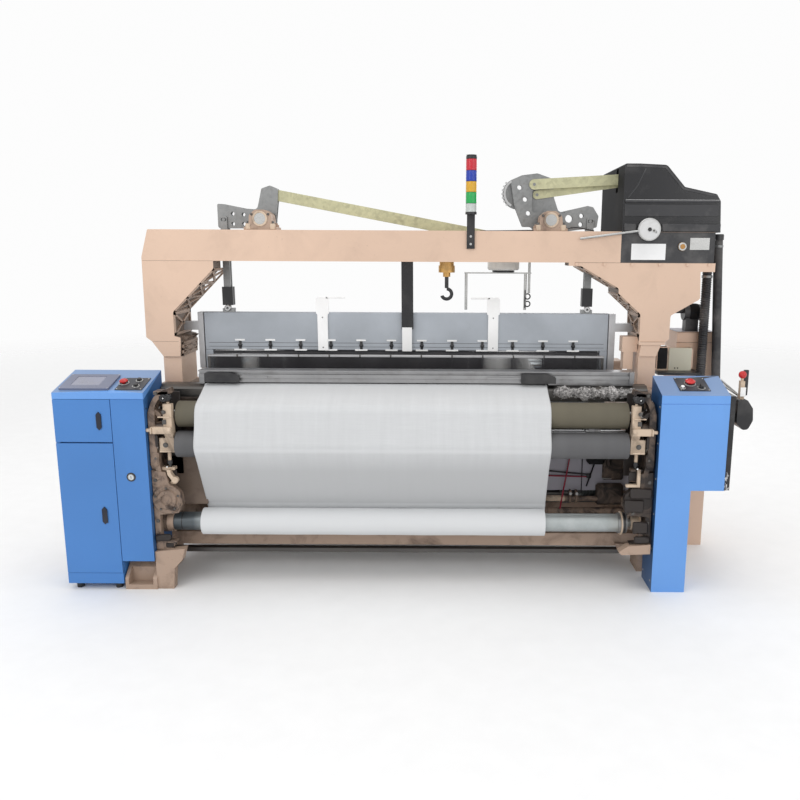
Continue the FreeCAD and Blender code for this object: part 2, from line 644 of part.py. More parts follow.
def build_rollers():
    y, z, radius = TAKE_UP
    end = FRAME_INNER - 2
    save("take_up_roller", join(rod("x", -ROLLER_HALF, ROLLER_HALF, y, z, radius),
                                rod("x", -end, end, y, z, TAKE_UP_JOURNAL)))
    y, z, radius = PRESS
    save("press_roller", join(rod("x", -ROLLER_HALF, ROLLER_HALF, y, z, radius),
                              rod("x", -PRESS_BLOCK[1] + 2, PRESS_BLOCK[1] - 2, y, z,
                                  PRESS_JOURNAL)))
    y, z, radius = CLOTH_ROLL
    save("cloth_beam", join(rod("x", -1160, 1084, y, z, CLOTH_TUBE_RADIUS),
                            rod("x", -1192, -1160, y, z, COLLAR_RADIUS),
                            rod("x", 1084, 1128, y, z, COLLAR_RADIUS),
                            rod("x", -end, end, y, z, BEAM_JOURNAL)))
    wound = rod("x", CLOTH_LEFT - 8, CLOTH_RIGHT - 8, y, z, radius)
    save("cloth_roll", cut(wound, rod("x", CLOTH_LEFT - 10, CLOTH_RIGHT, y, z,
                                      CLOTH_TUBE_RADIUS)))


def build_brackets():
    inner = FRAME_INNER - BRACKET_THICK
    upper_z, lower_z = TAKE_UP[1], PRESS[1]
    roller_plate = slab("yz", [(330, upper_z + 46), (205, upper_z + 46), (150, upper_z + 71, 20),
                               (90, upper_z + 71, 40), (28, upper_z + 21, 30),
                               (28, lower_z - 96, 20), (50, lower_z - 136),
                               (330, lower_z - 136)], inner, FRAME_INNER)
    boss = join(rod("x", PRESS_BLOCK[0] + PRESS_LEVER_WIDTH, inner + 1, 60, upper_z - 59, 31),
                rod("x", FRAME_INNER - 1, FRAME_INNER + 3, 60, upper_z - 59, 22))
    shelf_left = inner - 72
    shelf = box(shelf_left, inner + 1, 55, 90, lower_z - 130, lower_z - 116)
    leg = join(box(inner - 32, inner - 12, 60, 84, lower_z - 196, lower_z - 129),
               box(shelf_left, inner - 12, 55, 90, lower_z - 202, lower_z - 188))
    upper = cut(join(roller_plate, boss, shelf, leg),
                rod("x", inner - 1, FRAME_INNER + 1, TAKE_UP[0], TAKE_UP[1],
                    TAKE_UP_JOURNAL + RUN_GAP))
    y, z, radius = CLOTH_ROLL
    arm = slab("yz", [(330, 385), (y - 10, 375, 30), (y - 45, z + 25, 20), (y - 45, z - 25, 20),
                      (y, z - 60, 30), (330, 240)], inner, FRAME_INNER)
    housing = rod("x", inner - 46, inner + 1, y, z, 34)
    lower = cut(join(arm, housing),
                rod("x", inner - 47, FRAME_INNER + 1, y, z, BEAM_JOURNAL + RUN_GAP))
    save("roller_brackets", upper, lower, mirrored(upper),
         mirrored(cut(arm, rod("x", inner - 1, FRAME_INNER + 1, y, z, BEAM_JOURNAL + RUN_GAP))))

    near, far = PRESS_BLOCK
    y, z, radius = PRESS
    top = upper_z + 64
    bend = upper_z - 79
    lever = slab("yz", [(30, top, 6), (62, top, 6), (70, bend), (y + 32, z + 36),
                        (y + 32, z - 36, 6), (y - 32, z - 36, 6), (y - 32, z + 36), (22, bend)],
                 near, near + PRESS_LEVER_WIDTH)
    block = box(near, far, y - 32, y + 32, z - 36, z + 36)
    lever_x = near + PRESS_LEVER_WIDTH / 2
    neck = rod("z", top - 1, top + 27, lever_x, 46, 7)
    knob = Part.makeSphere(LEVER_KNOB_RADIUS, V(lever_x, 46, top + 29))
    screw_x = (near + far + 3) / 2
    screw = rod("z", lower_z - 116, z - 35, screw_x, y, 9)
    nut = rod("z", lower_z - 100, lower_z - 82, screw_x, y, 14)
    press_lever = cut(join(lever, block, neck, knob, screw, nut),
                      rod("x", near - 1, far + 1, y, z, PRESS_JOURNAL + RUN_GAP))
    save("press_levers", press_lever, mirrored(press_lever))


def contact(centre_a, shift_a, centre_b, shift_b):
    """Points where the line a to b touches two circles; a shift is the signed radius
    along the line's left-hand normal."""
    dy, dz = centre_b[0] - centre_a[0], centre_b[1] - centre_a[1]
    heading = math.atan2(dz, dy) - math.asin((shift_a - shift_b) / math.hypot(dy, dz))
    normal = (-math.sin(heading), math.cos(heading))
    return ((centre_a[0] + shift_a * normal[0], centre_a[1] + shift_a * normal[1]),
            (centre_b[0] + shift_b * normal[0], centre_b[1] + shift_b * normal[1]))


def arc_edge(centre, start, end, x):
    """Shorter arc round a centre from start to end, in the plane at x."""
    middle_y = (start[0] + end[0]) / 2 - centre[0]
    middle_z = (start[1] + end[1]) / 2 - centre[1]
    radius = math.hypot(start[0] - centre[0], start[1] - centre[1])
    scale = radius / math.hypot(middle_y, middle_z)
    middle = V(x, centre[0] + middle_y * scale, centre[1] + middle_z * scale)
    return Part.Arc(V(x, *start), middle, V(x, *end)).toShape()


def line_edge(start, end, x):
    return Part.LineSegment(V(x, *start), V(x, *end)).toShape()


def cloth_side(lift):
    """One face of the cloth from the fell to the roll, at a height above the rollers."""
    x = CLOTH_LEFT
    fell = (FELL_Y, CLOTH_HEIGHT + lift)
    nose = (CLOTH_NOSE_Y - lift * 0.3, CLOTH_HEIGHT + lift)
    upper, lower = TAKE_UP[2] + CLOTH_GAP + lift, PRESS[2] + CLOTH_GAP + lift
    roll = CLOTH_ROLL[2] + CLOTH_GAP + CLOTH_THICK - lift
    nose, first = contact(nose, 0, TAKE_UP, -upper)
    second, third = contact(TAKE_UP, -upper, PRESS, -lower)
    fourth, fifth = contact(PRESS, -lower, CLOTH_ROLL, roll)
    edges = [line_edge(fell, nose, x), line_edge(nose, first, x),
             arc_edge(TAKE_UP, first, second, x), line_edge(second, third, x),
             arc_edge(PRESS, third, fourth, x), line_edge(fourth, fifth, x)]
    return fell, fifth, edges


def warp_side(lift):
    """One face of the warp sheet from the heald frames over the back rest to the beam."""
    x = CLOTH_LEFT
    start = (WARP_START_Y, CLOTH_HEIGHT + lift)
    rest = BACK_REST[2] + CLOTH_GAP + lift
    yarn = WARP_YARN_RADIUS + CLOTH_GAP + lift
    start, first = contact(start, 0, BACK_REST, rest)
    second, third = contact(BACK_REST, rest, WARP_BEAM, yarn)
    edges = [line_edge(start, first, x), arc_edge(BACK_REST, first, second, x),
             line_edge(second, third, x)]
    return start, third, edges


def sheet(side):
    start, end, edges = side(0)
    top_start, top_end, top_edges = side(CLOTH_THICK)
    x = CLOTH_LEFT
    closing = [line_edge(start, top_start, x), line_edge(end, top_end, x)]
    wire = Part.Wire(Part.__sortEdges__(edges + top_edges + closing))
    return Part.Face(wire).extrude(V(CLOTH_RIGHT - CLOTH_LEFT, 0, 0))


def build_cloth():
    save("cloth", sheet(cloth_side))
    save("warp_sheet", sheet(warp_side))
    rings = []
    for x, low, high, front in ((742, -46, -23, 185), (800, -64, -4, 162), (880, -62, 2, 156),
                                (960, -66, -6, 165), (1040, -64, 4, 155),
                                (1120, -65, -4, 160), (1188, -50, -22, 186)):
        back = BREAST_FRONT - 0.3
        low, high = CLOTH_HEIGHT + low, CLOTH_HEIGHT + high
        middle = (low + high) / 2
        rings.append(outline("yz", [(back, low), (back, high), (front + 14, high - 3),
                                    (front, middle), (front + 12, low + 2)], x))
    save("lint_heap", Part.makeLoft(rings, True, True))


def build_breast():
    breast = slab("yz", [(BREAST_REAR, BREAST_BOTTOM), (BREAST_REAR, CLOTH_HEIGHT - 1),
                         (BREAST_FRONT + 31, CLOTH_HEIGHT - 1), (BREAST_FRONT + 10, CLOTH_HEIGHT - 13),
                         (BREAST_FRONT, CLOTH_HEIGHT - 23),
                         (BREAST_FRONT, BREAST_BOTTOM)], -FRAME_INNER, FRAME_INNER)
    save("breast_beam", breast)
    front, back = RAIL_FRONT, RAIL_FRONT + RAIL_DEPTH
    rail = slab("yz", [(front + 8, RAIL_BOTTOM), (back, RAIL_BOTTOM), (back, RAIL_TOP),
                       (front - 3, RAIL_TOP), (front - 3, RAIL_TOP - 6), (front + 12, RAIL_TOP - 6),
                       (front + 12, RAIL_BOTTOM + 42), (front, RAIL_BOTTOM + 41),
                       (front, RAIL_BOTTOM + 24), (front + 10, RAIL_BOTTOM + 23),
                       (front + 10, RAIL_BOTTOM + 18), (front + 8, RAIL_BOTTOM + 18)],
                RAIL_ENDS[0], RAIL_ENDS[1])
    end_cap = box(RAIL_ENDS[1] - 24, RAIL_ENDS[1], front - 6, front + 14, RAIL_BOTTOM + 4, RAIL_TOP)
    shims = [box(x0, x1, front + 15, back, CLOTH_HEIGHT - 1, RAIL_BOTTOM + 1)
             for x0, x1 in ((RAIL_ENDS[0], CLOTH_LEFT - 6), (CLOTH_RIGHT + 8, RAIL_ENDS[1]))]
    save("temple_rail", join(rail, end_cap, *shims))
    temples = []
    for x0 in (-1005, 590):
        low, high = RAIL_BOTTOM + 4, RAIL_BOTTOM + 52
        head = slab("xz", [(x0, low), (x0 + TEMPLE_LENGTH, low),
                           (x0 + TEMPLE_LENGTH, high - 16, 10),
                           (x0 + TEMPLE_LENGTH - 40, high, 12), (x0, high, 8)],
                    front - TEMPLE_DEPTH, front - 3)
        grip = box(x0 + 10, x0 + TEMPLE_LENGTH - 10, front - 4, front,
                   RAIL_BOTTOM + 25, RAIL_BOTTOM + 40)
        temples.append(join(head, grip))
    strips = [box(x0, x1, front - 8, front, RAIL_BOTTOM + 25, RAIL_BOTTOM + 33)
              for x0, x1 in ((-1005 + TEMPLE_LENGTH, -690), (420, 590))]
    save("temples", join(temples[0], strips[0]), join(temples[1], strips[1]))


def build_warp_side():
    y, z, radius = BACK_REST
    end = FRAME_INNER + SLEY_BEARING - 2
    save("back_rest_roller", join(rod("x", -ROLLER_HALF, ROLLER_HALF, y, z, radius),
                                  rod("x", -end, end, y, z, BEAM_JOURNAL)))
    y, z, radius = WARP_BEAM
    flanges = [rod("x", x, x + WARP_FLANGE_THICK, y, z, radius)
               for x in (CLOTH_LEFT - 20 - WARP_FLANGE_THICK, CLOTH_RIGHT + 20)]
    teeth_rim = rod("x", -1120, -1090, y, z, 150)
    yarn = rod("x", CLOTH_LEFT - 21, CLOTH_RIGHT + 21, y, z, WARP_YARN_RADIUS)
    save("warp_beam", join(rod("x", -1140, 1140, y, z, WARP_TUBE_RADIUS), teeth_rim, yarn,
                           rod("x", -end, end, y, z, BEAM_JOURNAL), *flanges))


# ======================================================================
# Sley, reed and heald frames
# ======================================================================

def build_sley():
    end = FRAME_INNER + SLEY_BEARING - 1
    parts = [rod("x", -end, end, SLEY_Y, SLEY_Z, SLEY_SHAFT_RADIUS)]
    first = -SWORD_SPACING * (SWORD_COUNT - 1) / 2
    beam_bottom = REED_BOTTOM - SLEY_BEAM_HEIGHT
    for i in range(SWORD_COUNT):
        x = first + i * SWORD_SPACING
        parts.append(slab("yz", [(SLEY_Y - 25, SLEY_Z), (SLEY_Y + 25, SLEY_Z),
                                 (SLEY_Y + 14, beam_bottom + 1), (SLEY_Y - 28, beam_bottom + 1)],
                          x - SWORD_THICK / 2, x + SWORD_THICK / 2))
        parts.append(rod("x", x - SWORD_THICK, x + SWORD_THICK, SLEY_Y, SLEY_Z, 44))
    beam = slab("yz", [(SLEY_Y - 45, beam_bottom), (SLEY_Y + 30, beam_bottom), (SLEY_Y + 30, REED_BOTTOM),
                       (SLEY_Y - 45, REED_BOTTOM, 12)], -SLEY_HALF, SLEY_HALF)
    save("sley", join(parts[0], *parts[1:], beam))
    save("reed", grating(SHAFT_LEFT + 30, SHAFT_RIGHT - 30, REED_BOTTOM, REED_TOP,
                         SLEY_Y - REED_THICK, SLEY_Y, REED_GAP_COUNT, 14))


def heald_frame(y):
    """Frame with a deep top bar, side stays, a bottom bar and its upright healds."""
    rim = outline("xz", [(SHAFT_LEFT, SHAFT_BOTTOM), (SHAFT_RIGHT, SHAFT_BOTTOM),
                         (SHAFT_RIGHT, SHAFT_TOP), (SHAFT_LEFT, SHAFT_TOP)], y)
    x0, x1 = SHAFT_LEFT + SHAFT_BORDER, SHAFT_RIGHT - SHAFT_BORDER
    z0, z1 = SHAFT_BOTTOM + SHAFT_BORDER, SHAFT_TOP - SHAFT_PANEL
    plate = Part.Face(rim).extrude(V(0, SHAFT_THICK, 0))
    frame = plate.cut(box(x0, x1, y - 1, y + SHAFT_THICK + 1, z0, z1))
    healds = grating(x0 - HEALD_GRIP, x1 + HEALD_GRIP, z0 - HEALD_GRIP, z1 + HEALD_GRIP,
                     y + (SHAFT_THICK - HEALD_THICK) / 2, y + (SHAFT_THICK + HEALD_THICK) / 2,
                     HEALD_GAP_COUNT, 12 + HEALD_GRIP)
    return join(frame, healds)


def heald_hooks(y):
    """I-shaped hooks that hang the heald bar from the front frame's panel."""
    z = HOOK_TOP
    hooks = []
    for i in range(HOOK_COUNT):
        x = HOOK_FIRST_X + i * HOOK_SPACING
        hooks.append(join(box(x - 26, x + 26, y - 5, y + 1, z, z + 9),
                          box(x - 7, x + 7, y - 5, y + 1, z - 45, z + 1),
                          box(x - 33, x + 33, y - 5, y + 1, z - 52, z - 43)))
    depth = (SHAFT_THICK - HEALD_THICK) / 2 - 0.5
    z = SHAFT_TOP - SHAFT_PANEL
    bar = box(SHAFT_LEFT + SHAFT_BORDER - 1, SHAFT_RIGHT - SHAFT_BORDER + 1, y, y + depth,
              z - 36, z - 24)
    return hooks + [bar]


def shaft_posts(y):
    """Upright posts on the front frame's panel, each with an arm towards the middle."""
    posts = []
    for x, inwards in zip(POST_CENTRES, (1, -1)):
        post = slab("xz", [(x - 27, 1149), (x + 27, 1149), (x + 27, 1340), (x + 34, 1346),
                           (x + 34, 1433, 10), (x - 34, 1433, 10), (x - 34, 1346), (x - 27, 1340)],
                    y - 11, y + 1)
        near, far = x + inwards * 20, x + inwards * POST_ARM
        posts.append(join(post, box(min(near, far), max(near, far), y - 11, y - 1, 1424, 1433)))
    return posts


def build_heald_frames():
    frames = [heald_frame(SHAFT_FIRST_Y + number * SHAFT_PITCH) for number in range(4)]
    frames[0] = join(frames[0], *heald_hooks(SHAFT_FIRST_Y), *shaft_posts(SHAFT_FIRST_Y))
    save("front_heald_frames", *frames[:2])
    save("rear_heald_frames", *frames[2:])


def group_y(group):
    """Middle plane of the front (0) or rear (1) pair of heald frames and its levers."""
    return SHAFT_FIRST_Y + 2 * group * SHAFT_PITCH + (SHAFT_PITCH + SHAFT_THICK) / 2


HALF_STACK = LEVER_THICK / 2 + SIDE_GAP + CHEEK


def lift_rod(x, y):
    """Link from a pair of heald frames up to a lever's pin, forked round the lever."""
    half = SLEEVE_WIDTH / 2
    depth = (SHAFT_PITCH + SHAFT_THICK) / 2
    yoke = box(x - half, x + half, y - depth, y + depth, SHAFT_TOP, SHAFT_TOP + 20)
    bolt = rod("z", SHAFT_TOP + 19, SLEEVE_BOTTOM + 1, x, y, 8)
    sleeve = slab("xy", [(x - half, y - depth, 5), (x + half, y - depth, 5),
                         (x + half, y + depth, 5), (x - half, y + depth, 5)],
                  SLEEVE_BOTTOM, SLEEVE_TOP)
    fork_bottom = PIVOT_Z - 75
    bar = box(x - LINK_WIDTH / 2, x + LINK_WIDTH / 2, y - 6, y + 6, SLEEVE_TOP - 1, fork_bottom)
    base = box(x - LINK_WIDTH / 2, x + LINK_WIDTH / 2, y - HALF_STACK, y + HALF_STACK,
               fork_bottom - 5, fork_bottom + 10)
    cheeks = []
    for side in (-1, 1):
        near, far = sorted((side * (LEVER_THICK / 2 + SIDE_GAP), side * HALF_STACK))
        cheek = slab("xz", [(x - LINK_WIDTH / 2, fork_bottom), (x + LINK_WIDTH / 2, fork_bottom),
                            (x + LINK_WIDTH / 2, PIVOT_Z + 18, 9),
                            (x - LINK_WIDTH / 2, PIVOT_Z + 18, 9)], y + near, y + far)
        cheeks.append(cheek)
    slack = 6.0
    reach = PIN_RADIUS + 0.7
    slot = slab("xz", [(x - reach - slack, PIVOT_Z - reach, reach - 0.1),
                       (x + reach + slack, PIVOT_Z - reach, reach - 0.1),
                       (x + reach + slack, PIVOT_Z + reach, reach - 0.1),
                       (x - reach - slack, PIVOT_Z + reach, reach - 0.1)],
                y - HALF_STACK - 1, y + HALF_STACK + 1)
    return cut(join(yoke, bolt, sleeve, bar, base, *cheeks), slot)


def lever_pin(x, z, y):
    return rod("y", y - HALF_STACK, y + HALF_STACK, x, z, PIN_RADIUS)


def left_lever(y):
    """Bell crank: lift arm to the left, cross rod arm up."""
    px, pz = LEFT_PIVOT_X, PIVOT_Z
    plate = slab("xz", [(px - 253, pz - 44, 12), (px - 253, pz + 80, 8), (px - 215, pz + 78, 6),
                        (px - 100, pz + 56, 10), (px - 46, pz + 52, 20), (px - 20, pz + 158, 8),
                        (px + 24, pz + 173, 8), (px + 66, pz + 156, 10), (px + 62, pz + 96, 20),
                        (px + 46, pz - 30, 20), (px, pz - 52, 24), (px - 70, pz - 44, 20)],
                y - LEVER_THICK / 2, y + LEVER_THICK / 2)
    holes = [rod("y", y - 20, y + 20, px + dx, pz + dz, 10)
             for dx, dz in ((-119, 26), (-66, 24), (-119, -22), (-175, 30), (-175, -22))]
    hub = rod("y", y - LEVER_THICK / 2, y + LEVER_THICK / 2, px, pz, 50)
    body = cut(join(plate, hub), rod("y", y - 30, y + 30, px, pz, SHAFT_RADIUS + RUN_GAP), *holes)
    return join(body, lever_pin(px - LIFT_ARM, pz, y),
                rod("y", y - LEVER_THICK / 2, y + HALF_STACK, px + CROSS_ARM[0], pz + CROSS_ARM[1],
                    PIN_RADIUS))


def right_lever(y, pull_pin, group):
    """Bell crank: lift arm to the right, cross rod arm down, pull rod arm up."""
    px, pz = RIGHT_PIVOT_X, PIVOT_Z
    plate = slab("xz", [(px - 197, pz + 205, 10), (px - 139, pz + 230, 20),
                        (px - 59, pz + 240, 20), (px + 17, pz + 214, 20),
                        (px + 33, pz + 120, 30), (px + 60, pz + 45, 20), (px + 205, pz + 78, 10),
                        (px + 234, pz + 72, 10), (px + 264, pz + 26, 10), (px + 256, pz - 32, 10),
                        (px + 70, pz - 56, 30), (px - 2, pz - 152, 24), (px - 66, pz - 152, 24),
                        (px - 77, pz - 30, 20), (px - 131, pz - 30, 10), (px - 176, pz + 78, 10),
                        (px - 188, pz + 148, 10)],
                y - LEVER_THICK / 2, y + LEVER_THICK / 2)
    holes = [rod("y", y - 20, y + 20, px + dx, pz + dz, radius)
             for dx, dz, radius in ((111, 13, 20), (176, 28, 12), (173, -16, 12),
                                    (-150, 170, 12), (-120, 110, 12), (-102, 40, 12))]
    if group == 0:
        left, low, high = LEVER_NOTCH
        holes.append(slab("xz", [(px + left, pz + low, 15), (px + 90, pz + low), (px + 90, pz + high),
                                 (px + left, pz + high, 15)], y - 20, y + 20))
    else:
        dx, dz, radius = GEAR_DISC
        plate = join(plate, rod("y", y - LEVER_THICK / 2, y + LEVER_THICK / 2, px + dx, pz + dz,
                                radius))
    body = cut(plate, rod("y", y - 30, y + 30, px, pz, SHAFT_RADIUS + RUN_GAP), *holes)
    return join(body, lever_pin(px + LIFT_ARM, pz, y),
                rod("y", y - LEVER_THICK / 2, y + HALF_STACK, px - CROSS_ARM[0], pz - CROSS_ARM[1],
                    PIN_RADIUS),
                rod("y", y - HALF_STACK, y + LEVER_THICK / 2, px + pull_pin[0], pz + pull_pin[1],
                    PIN_RADIUS))


def bar_between(start, end, height, y0, y1):
    """Flat bar with round ends between two points in a front view."""
    run = V(end[0] - start[0], 0, end[1] - start[1])
    length = run.Length
    bar = join(box(0, length, y0, y1, -height / 2, height / 2),
               rod("y", y0, y1, 0, 0, height / 2), rod("y", y0, y1, length, 0, height / 2))
    bar.rotate(V(0, 0, 0), V(0, 1, 0), -math.degrees(math.atan2(run.z, run.x)))
    bar.translate(V(start[0], 0, start[1]))
    return bar


def cross_rod(y):
    """Rod that carries the right lever's turn to the left lever. Its right end is slotted."""
    y0, y1 = y + LEVER_THICK / 2 + SIDE_GAP, y + HALF_STACK
    left = (LEFT_PIVOT_X + CROSS_ARM[0], PIVOT_Z + CROSS_ARM[1])
    right = (RIGHT_PIVOT_X - CROSS_ARM[0], PIVOT_Z - CROSS_ARM[1])
    bar = bar_between(left, right, CROSS_ROD_HEIGHT, y0, y1)
    eye = rod("y", y0 - 1, y1 + 1, left[0], left[1], PIN_RADIUS + RUN_GAP)
    half = PIN_RADIUS + CROSS_SLOT_SIDE
    slot = join(rod("y", y0 - 1, y1 + 1, right[0], right[1] - CROSS_SLOT_RISE, half),
                rod("y", y0 - 1, y1 + 1, right[0], right[1] + CROSS_SLOT_RISE, half),
                box(right[0] - half, right[0] + half, y0 - 1, y1 + 1,
                    right[1] - CROSS_SLOT_RISE, right[1] + CROSS_SLOT_RISE))
    return cut(bar, eye, slot)


def pull_rod(y, pull_pin, slope, height):
    """Rod from the right lever into the shedding motion's cover."""
    y0, y1 = y - HALF_STACK, y - LEVER_THICK / 2 - SIDE_GAP
    start = (RIGHT_PIVOT_X + pull_pin[0], PIVOT_Z + pull_pin[1])
    end = (PULL_ROD_END, start[1] + slope * (PULL_ROD_END - start[0]))
    bar = bar_between(start, end, height, y0, y1)
    return cut(bar, rod("y", y0 - 1, y1 + 1, start[0], start[1], PIN_RADIUS + RUN_GAP))


def build_levers():
    for group, name, pull_pin, slope, height in (
            (0, "front", FRONT_PULL_PIN, FRONT_PULL_SLOPE, FRONT_PULL_HEIGHT),
            (1, "rear", REAR_PULL_PIN, REAR_PULL_SLOPE, REAR_PULL_HEIGHT)):
        y = group_y(group)
        save(name + "_lift_rods", lift_rod(LEFT_PIVOT_X - LIFT_ARM, y),
             lift_rod(RIGHT_PIVOT_X + LIFT_ARM, y))
        save(name + "_left_lever", left_lever(y))
        save(name + "_right_lever", right_lever(y, pull_pin, group))
        save(name + "_cross_rod", cross_rod(y))
        save(name + "_pull_rod", pull_rod(y, pull_pin, slope, height))


def build_bearings():
    top = BEAM_BOTTOM + BEAM_HEIGHT
    pieces = []
    shaft_end = group_y(1) + HALF_STACK + 3
    for px in (LEFT_PIVOT_X, RIGHT_PIVOT_X):
        block = slab("xz", [(px - 84, top), (px + 84, top), (px + 84, top + 14, 4),
                            (px + 60, top + 16), (px + 55, PIVOT_Z + 20, 26),
                            (px + 24, PIVOT_Z + 44, 20), (px - 24, PIVOT_Z + 44, 20),
                            (px - 55, PIVOT_Z + 20, 26), (px - 60, top + 16), (px - 84, top + 14, 4)],
                     ARCH_FRONT + 15, ARCH_FRONT + 115)
        bolts = [join(rod("z", top + 13, top + 26, px + dx, ARCH_FRONT + 65, 13),
                      rod("z", top + 25, top + 34, px + dx, ARCH_FRONT + 65, 7)) for dx in (-72, 72)]
        block = join(cut(block, rod("y", 0, 600, px, PIVOT_Z, SHAFT_RADIUS)), *bolts)
        shaft = rod("y", ARCH_FRONT + 10, shaft_end, px, PIVOT_Z, SHAFT_RADIUS)
        pieces += [block, shaft]
    save("lever_bearings", *pieces)


# ======================================================================
# Shedding motion, hand lever, brake lever
# ======================================================================

def build_shedding():
    case = box(BEAM_RIGHT, CASE_RIGHT, ARCH_FRONT, CASE_REAR, BEAM_BOTTOM, CASE_TOP)
    case_inside = box(BEAM_RIGHT + 10, CASE_RIGHT - 10, ARCH_FRONT + 10, CASE_REAR - 10,
                      BEAM_BOTTOM + 10, CASE_TOP + 1)
    plates = [box(1143, 1316, ARCH_FRONT - 2, ARCH_FRONT + 1, 1635, 1715),
              box(1437, 1535, ARCH_FRONT - 3, ARCH_FRONT + 1, 1686, 1745)]
    glass = rod("y", ARCH_FRONT - 6, ARCH_FRONT + 1, 1399, 1702, 21)
    save("shedding_case", join(cut(case, case_inside), glass, *plates))

    bottom = CASE_TOP
    profile = [(COVER_LEFT, bottom), (1587, bottom), (1578, 1925, 20), (1557, 1959, 12),
               (1395, 1993, 14), (1301, 2098, 30), (1170, 2104, 60), (COVER_LEFT, 2104, 10)]
    outer = slab("xz", profile, ARCH_FRONT, CASE_REAR)
    face = Part.Face(outline("xz", profile, ARCH_FRONT + COVER_WALL))
    inner = face.makeOffset2D(-COVER_WALL).extrude(V(0, CASE_REAR - ARCH_FRONT - 2 * COVER_WALL, 0))
    below = box(COVER_LEFT + COVER_WALL, 1583, ARCH_FRONT + COVER_WALL, CASE_REAR - COVER_WALL,
                bottom - 1, bottom + 6)
    y0, y1, z0, z1 = COVER_MOUTH
    mouth = box(COVER_LEFT - 1, COVER_LEFT + COVER_WALL + 1, y0, y1, z0, z1)
    seam = box(COVER_LEFT - 1, 1600, ARCH_FRONT - 1, ARCH_FRONT + 1.5, 1822, 1826)
    shell = cut(outer, inner, below, mouth, seam)
    pin = rod("y", ARCH_FRONT - 32, ARCH_FRONT + 1, HAND_DISC_X, HAND_DISC_Z, HAND_PIN_RADIUS)
    save("shedding_cover", join(shell, pin))

    y0, y1 = ARCH_FRONT - 28, ARCH_FRONT - 4
    disc = turned([(0, 0), (HAND_DISC_RADIUS - 6, 0), (HAND_DISC_RADIUS, 6),
                   (HAND_DISC_RADIUS, y1 - y0 - 4), (HAND_DISC_RADIUS - 4, y1 - y0), (0, y1 - y0)],
                  V(HAND_DISC_X, y0, HAND_DISC_Z), V(0, 1, 0))
    end_x, end_z = HAND_ROD_END
    run = V(end_x - HAND_DISC_X, 0, end_z - HAND_DISC_Z)
    handle = Part.makeCylinder(6, run.Length, V(HAND_DISC_X, (y0 + y1) / 2, HAND_DISC_Z), run)
    dimple = rod("y", y0 - 1, y0 + 8, HAND_DISC_X + 31, HAND_DISC_Z - 13, 7)
    bore = rod("y", y0 - 1, y1 + 1, HAND_DISC_X, HAND_DISC_Z, HAND_PIN_RADIUS + RUN_GAP)
    save("hand_lever", cut(join(disc, handle), dimple, bore))


def build_brake():
    y, z = BRAKE_Y, BRAKE_PIVOT_Z
    left, right = BRAKE_LEFT, BRAKE_RIGHT
    housing = slab("xz", [(left, z - 95, 12), (left + 30, z - 127, 20), (right - 22, z - 125, 20),
                          (right, z - 80, 24), (right - 4, z - 20, 24), (right - 34, z + 23, 16),
                          (left, z + 23, 10)],
                   y - 45, y + 45)
    slot = box(left + 14, left + 44, y - 34, y + 34, z - 32, z + 30)
    support = box(RIGHT_CABINET_LEFT + RIGHT_CABINET_WIDTH + RIGHT_WING, left + 1, y - 25, y + 25,
                  z - 90, z - 50)
    pin = rod("x", left + 13, left + 45, y, z, 8)
    arms = []
    for drop in (0, 18):
        start = V(RIGHT_CABINET_LEFT + RIGHT_CABINET_WIDTH + 6, y + 66 - drop,
                  CABINET_FRONT_HEIGHT + 50 - drop)
        run = V(left + 60, y + 38, z + 8) - start
        arms.append(Part.makeCylinder(5, run.Length, start, run))
    save("brake_housing", join(cut(housing, slot), pin, support, *arms))
    grip_x = left + 29
    lever = join(rod("x", grip_x - 10, grip_x + 10, y, z, 22),
                 box(grip_x - 10, grip_x + 10, y - 14, y + 14, z, BRAKE_BALL_Z - 30),
                 rod("z", BRAKE_BALL_Z - 31, BRAKE_BALL_Z, grip_x, y, 7),
                 Part.makeSphere(BRAKE_BALL_RADIUS, V(grip_x, y, BRAKE_BALL_Z)))
    save("brake_lever", cut(lever, rod("x", grip_x - 11, grip_x + 11, y, z, 8 + RUN_GAP)))


# ======================================================================
# Light tower, guides, hook and yarn stand
# ======================================================================

def build_tower():
    y = ARCH_FRONT - POLE_THICK
    plate = box(TOWER_X - POLE_WIDTH / 2, TOWER_X + POLE_WIDTH / 2, y, ARCH_FRONT, POLE_BOTTOM,
                LENS_STARTS[0] - 10)
    base = rod("z", LENS_STARTS[0] - 12, LENS_STARTS[0], TOWER_X, y, TOWER_RADIUS + 1)
    screws = [rod("y", y - 4, y + 1, TOWER_X, z, 6) for z in (POLE_BOTTOM + 23, POLE_BOTTOM + 61)]
    save("light_pole", join(plate, base, *screws))
    lenses = []
    for low, high in zip(LENS_STARTS[:-1], LENS_STARTS[1:]):
        body = rod("z", low, high - 2, TOWER_X, y, TOWER_RADIUS)
        neck = rod("z", high - 3, high, TOWER_X, y, TOWER_RADIUS - 2)
        lenses.append(join(body, neck) if high < LENS_STARTS[-1] else rod("z", low, high, TOWER_X, y,
                                                                          TOWER_RADIUS))
    save("tower_lenses", *lenses)


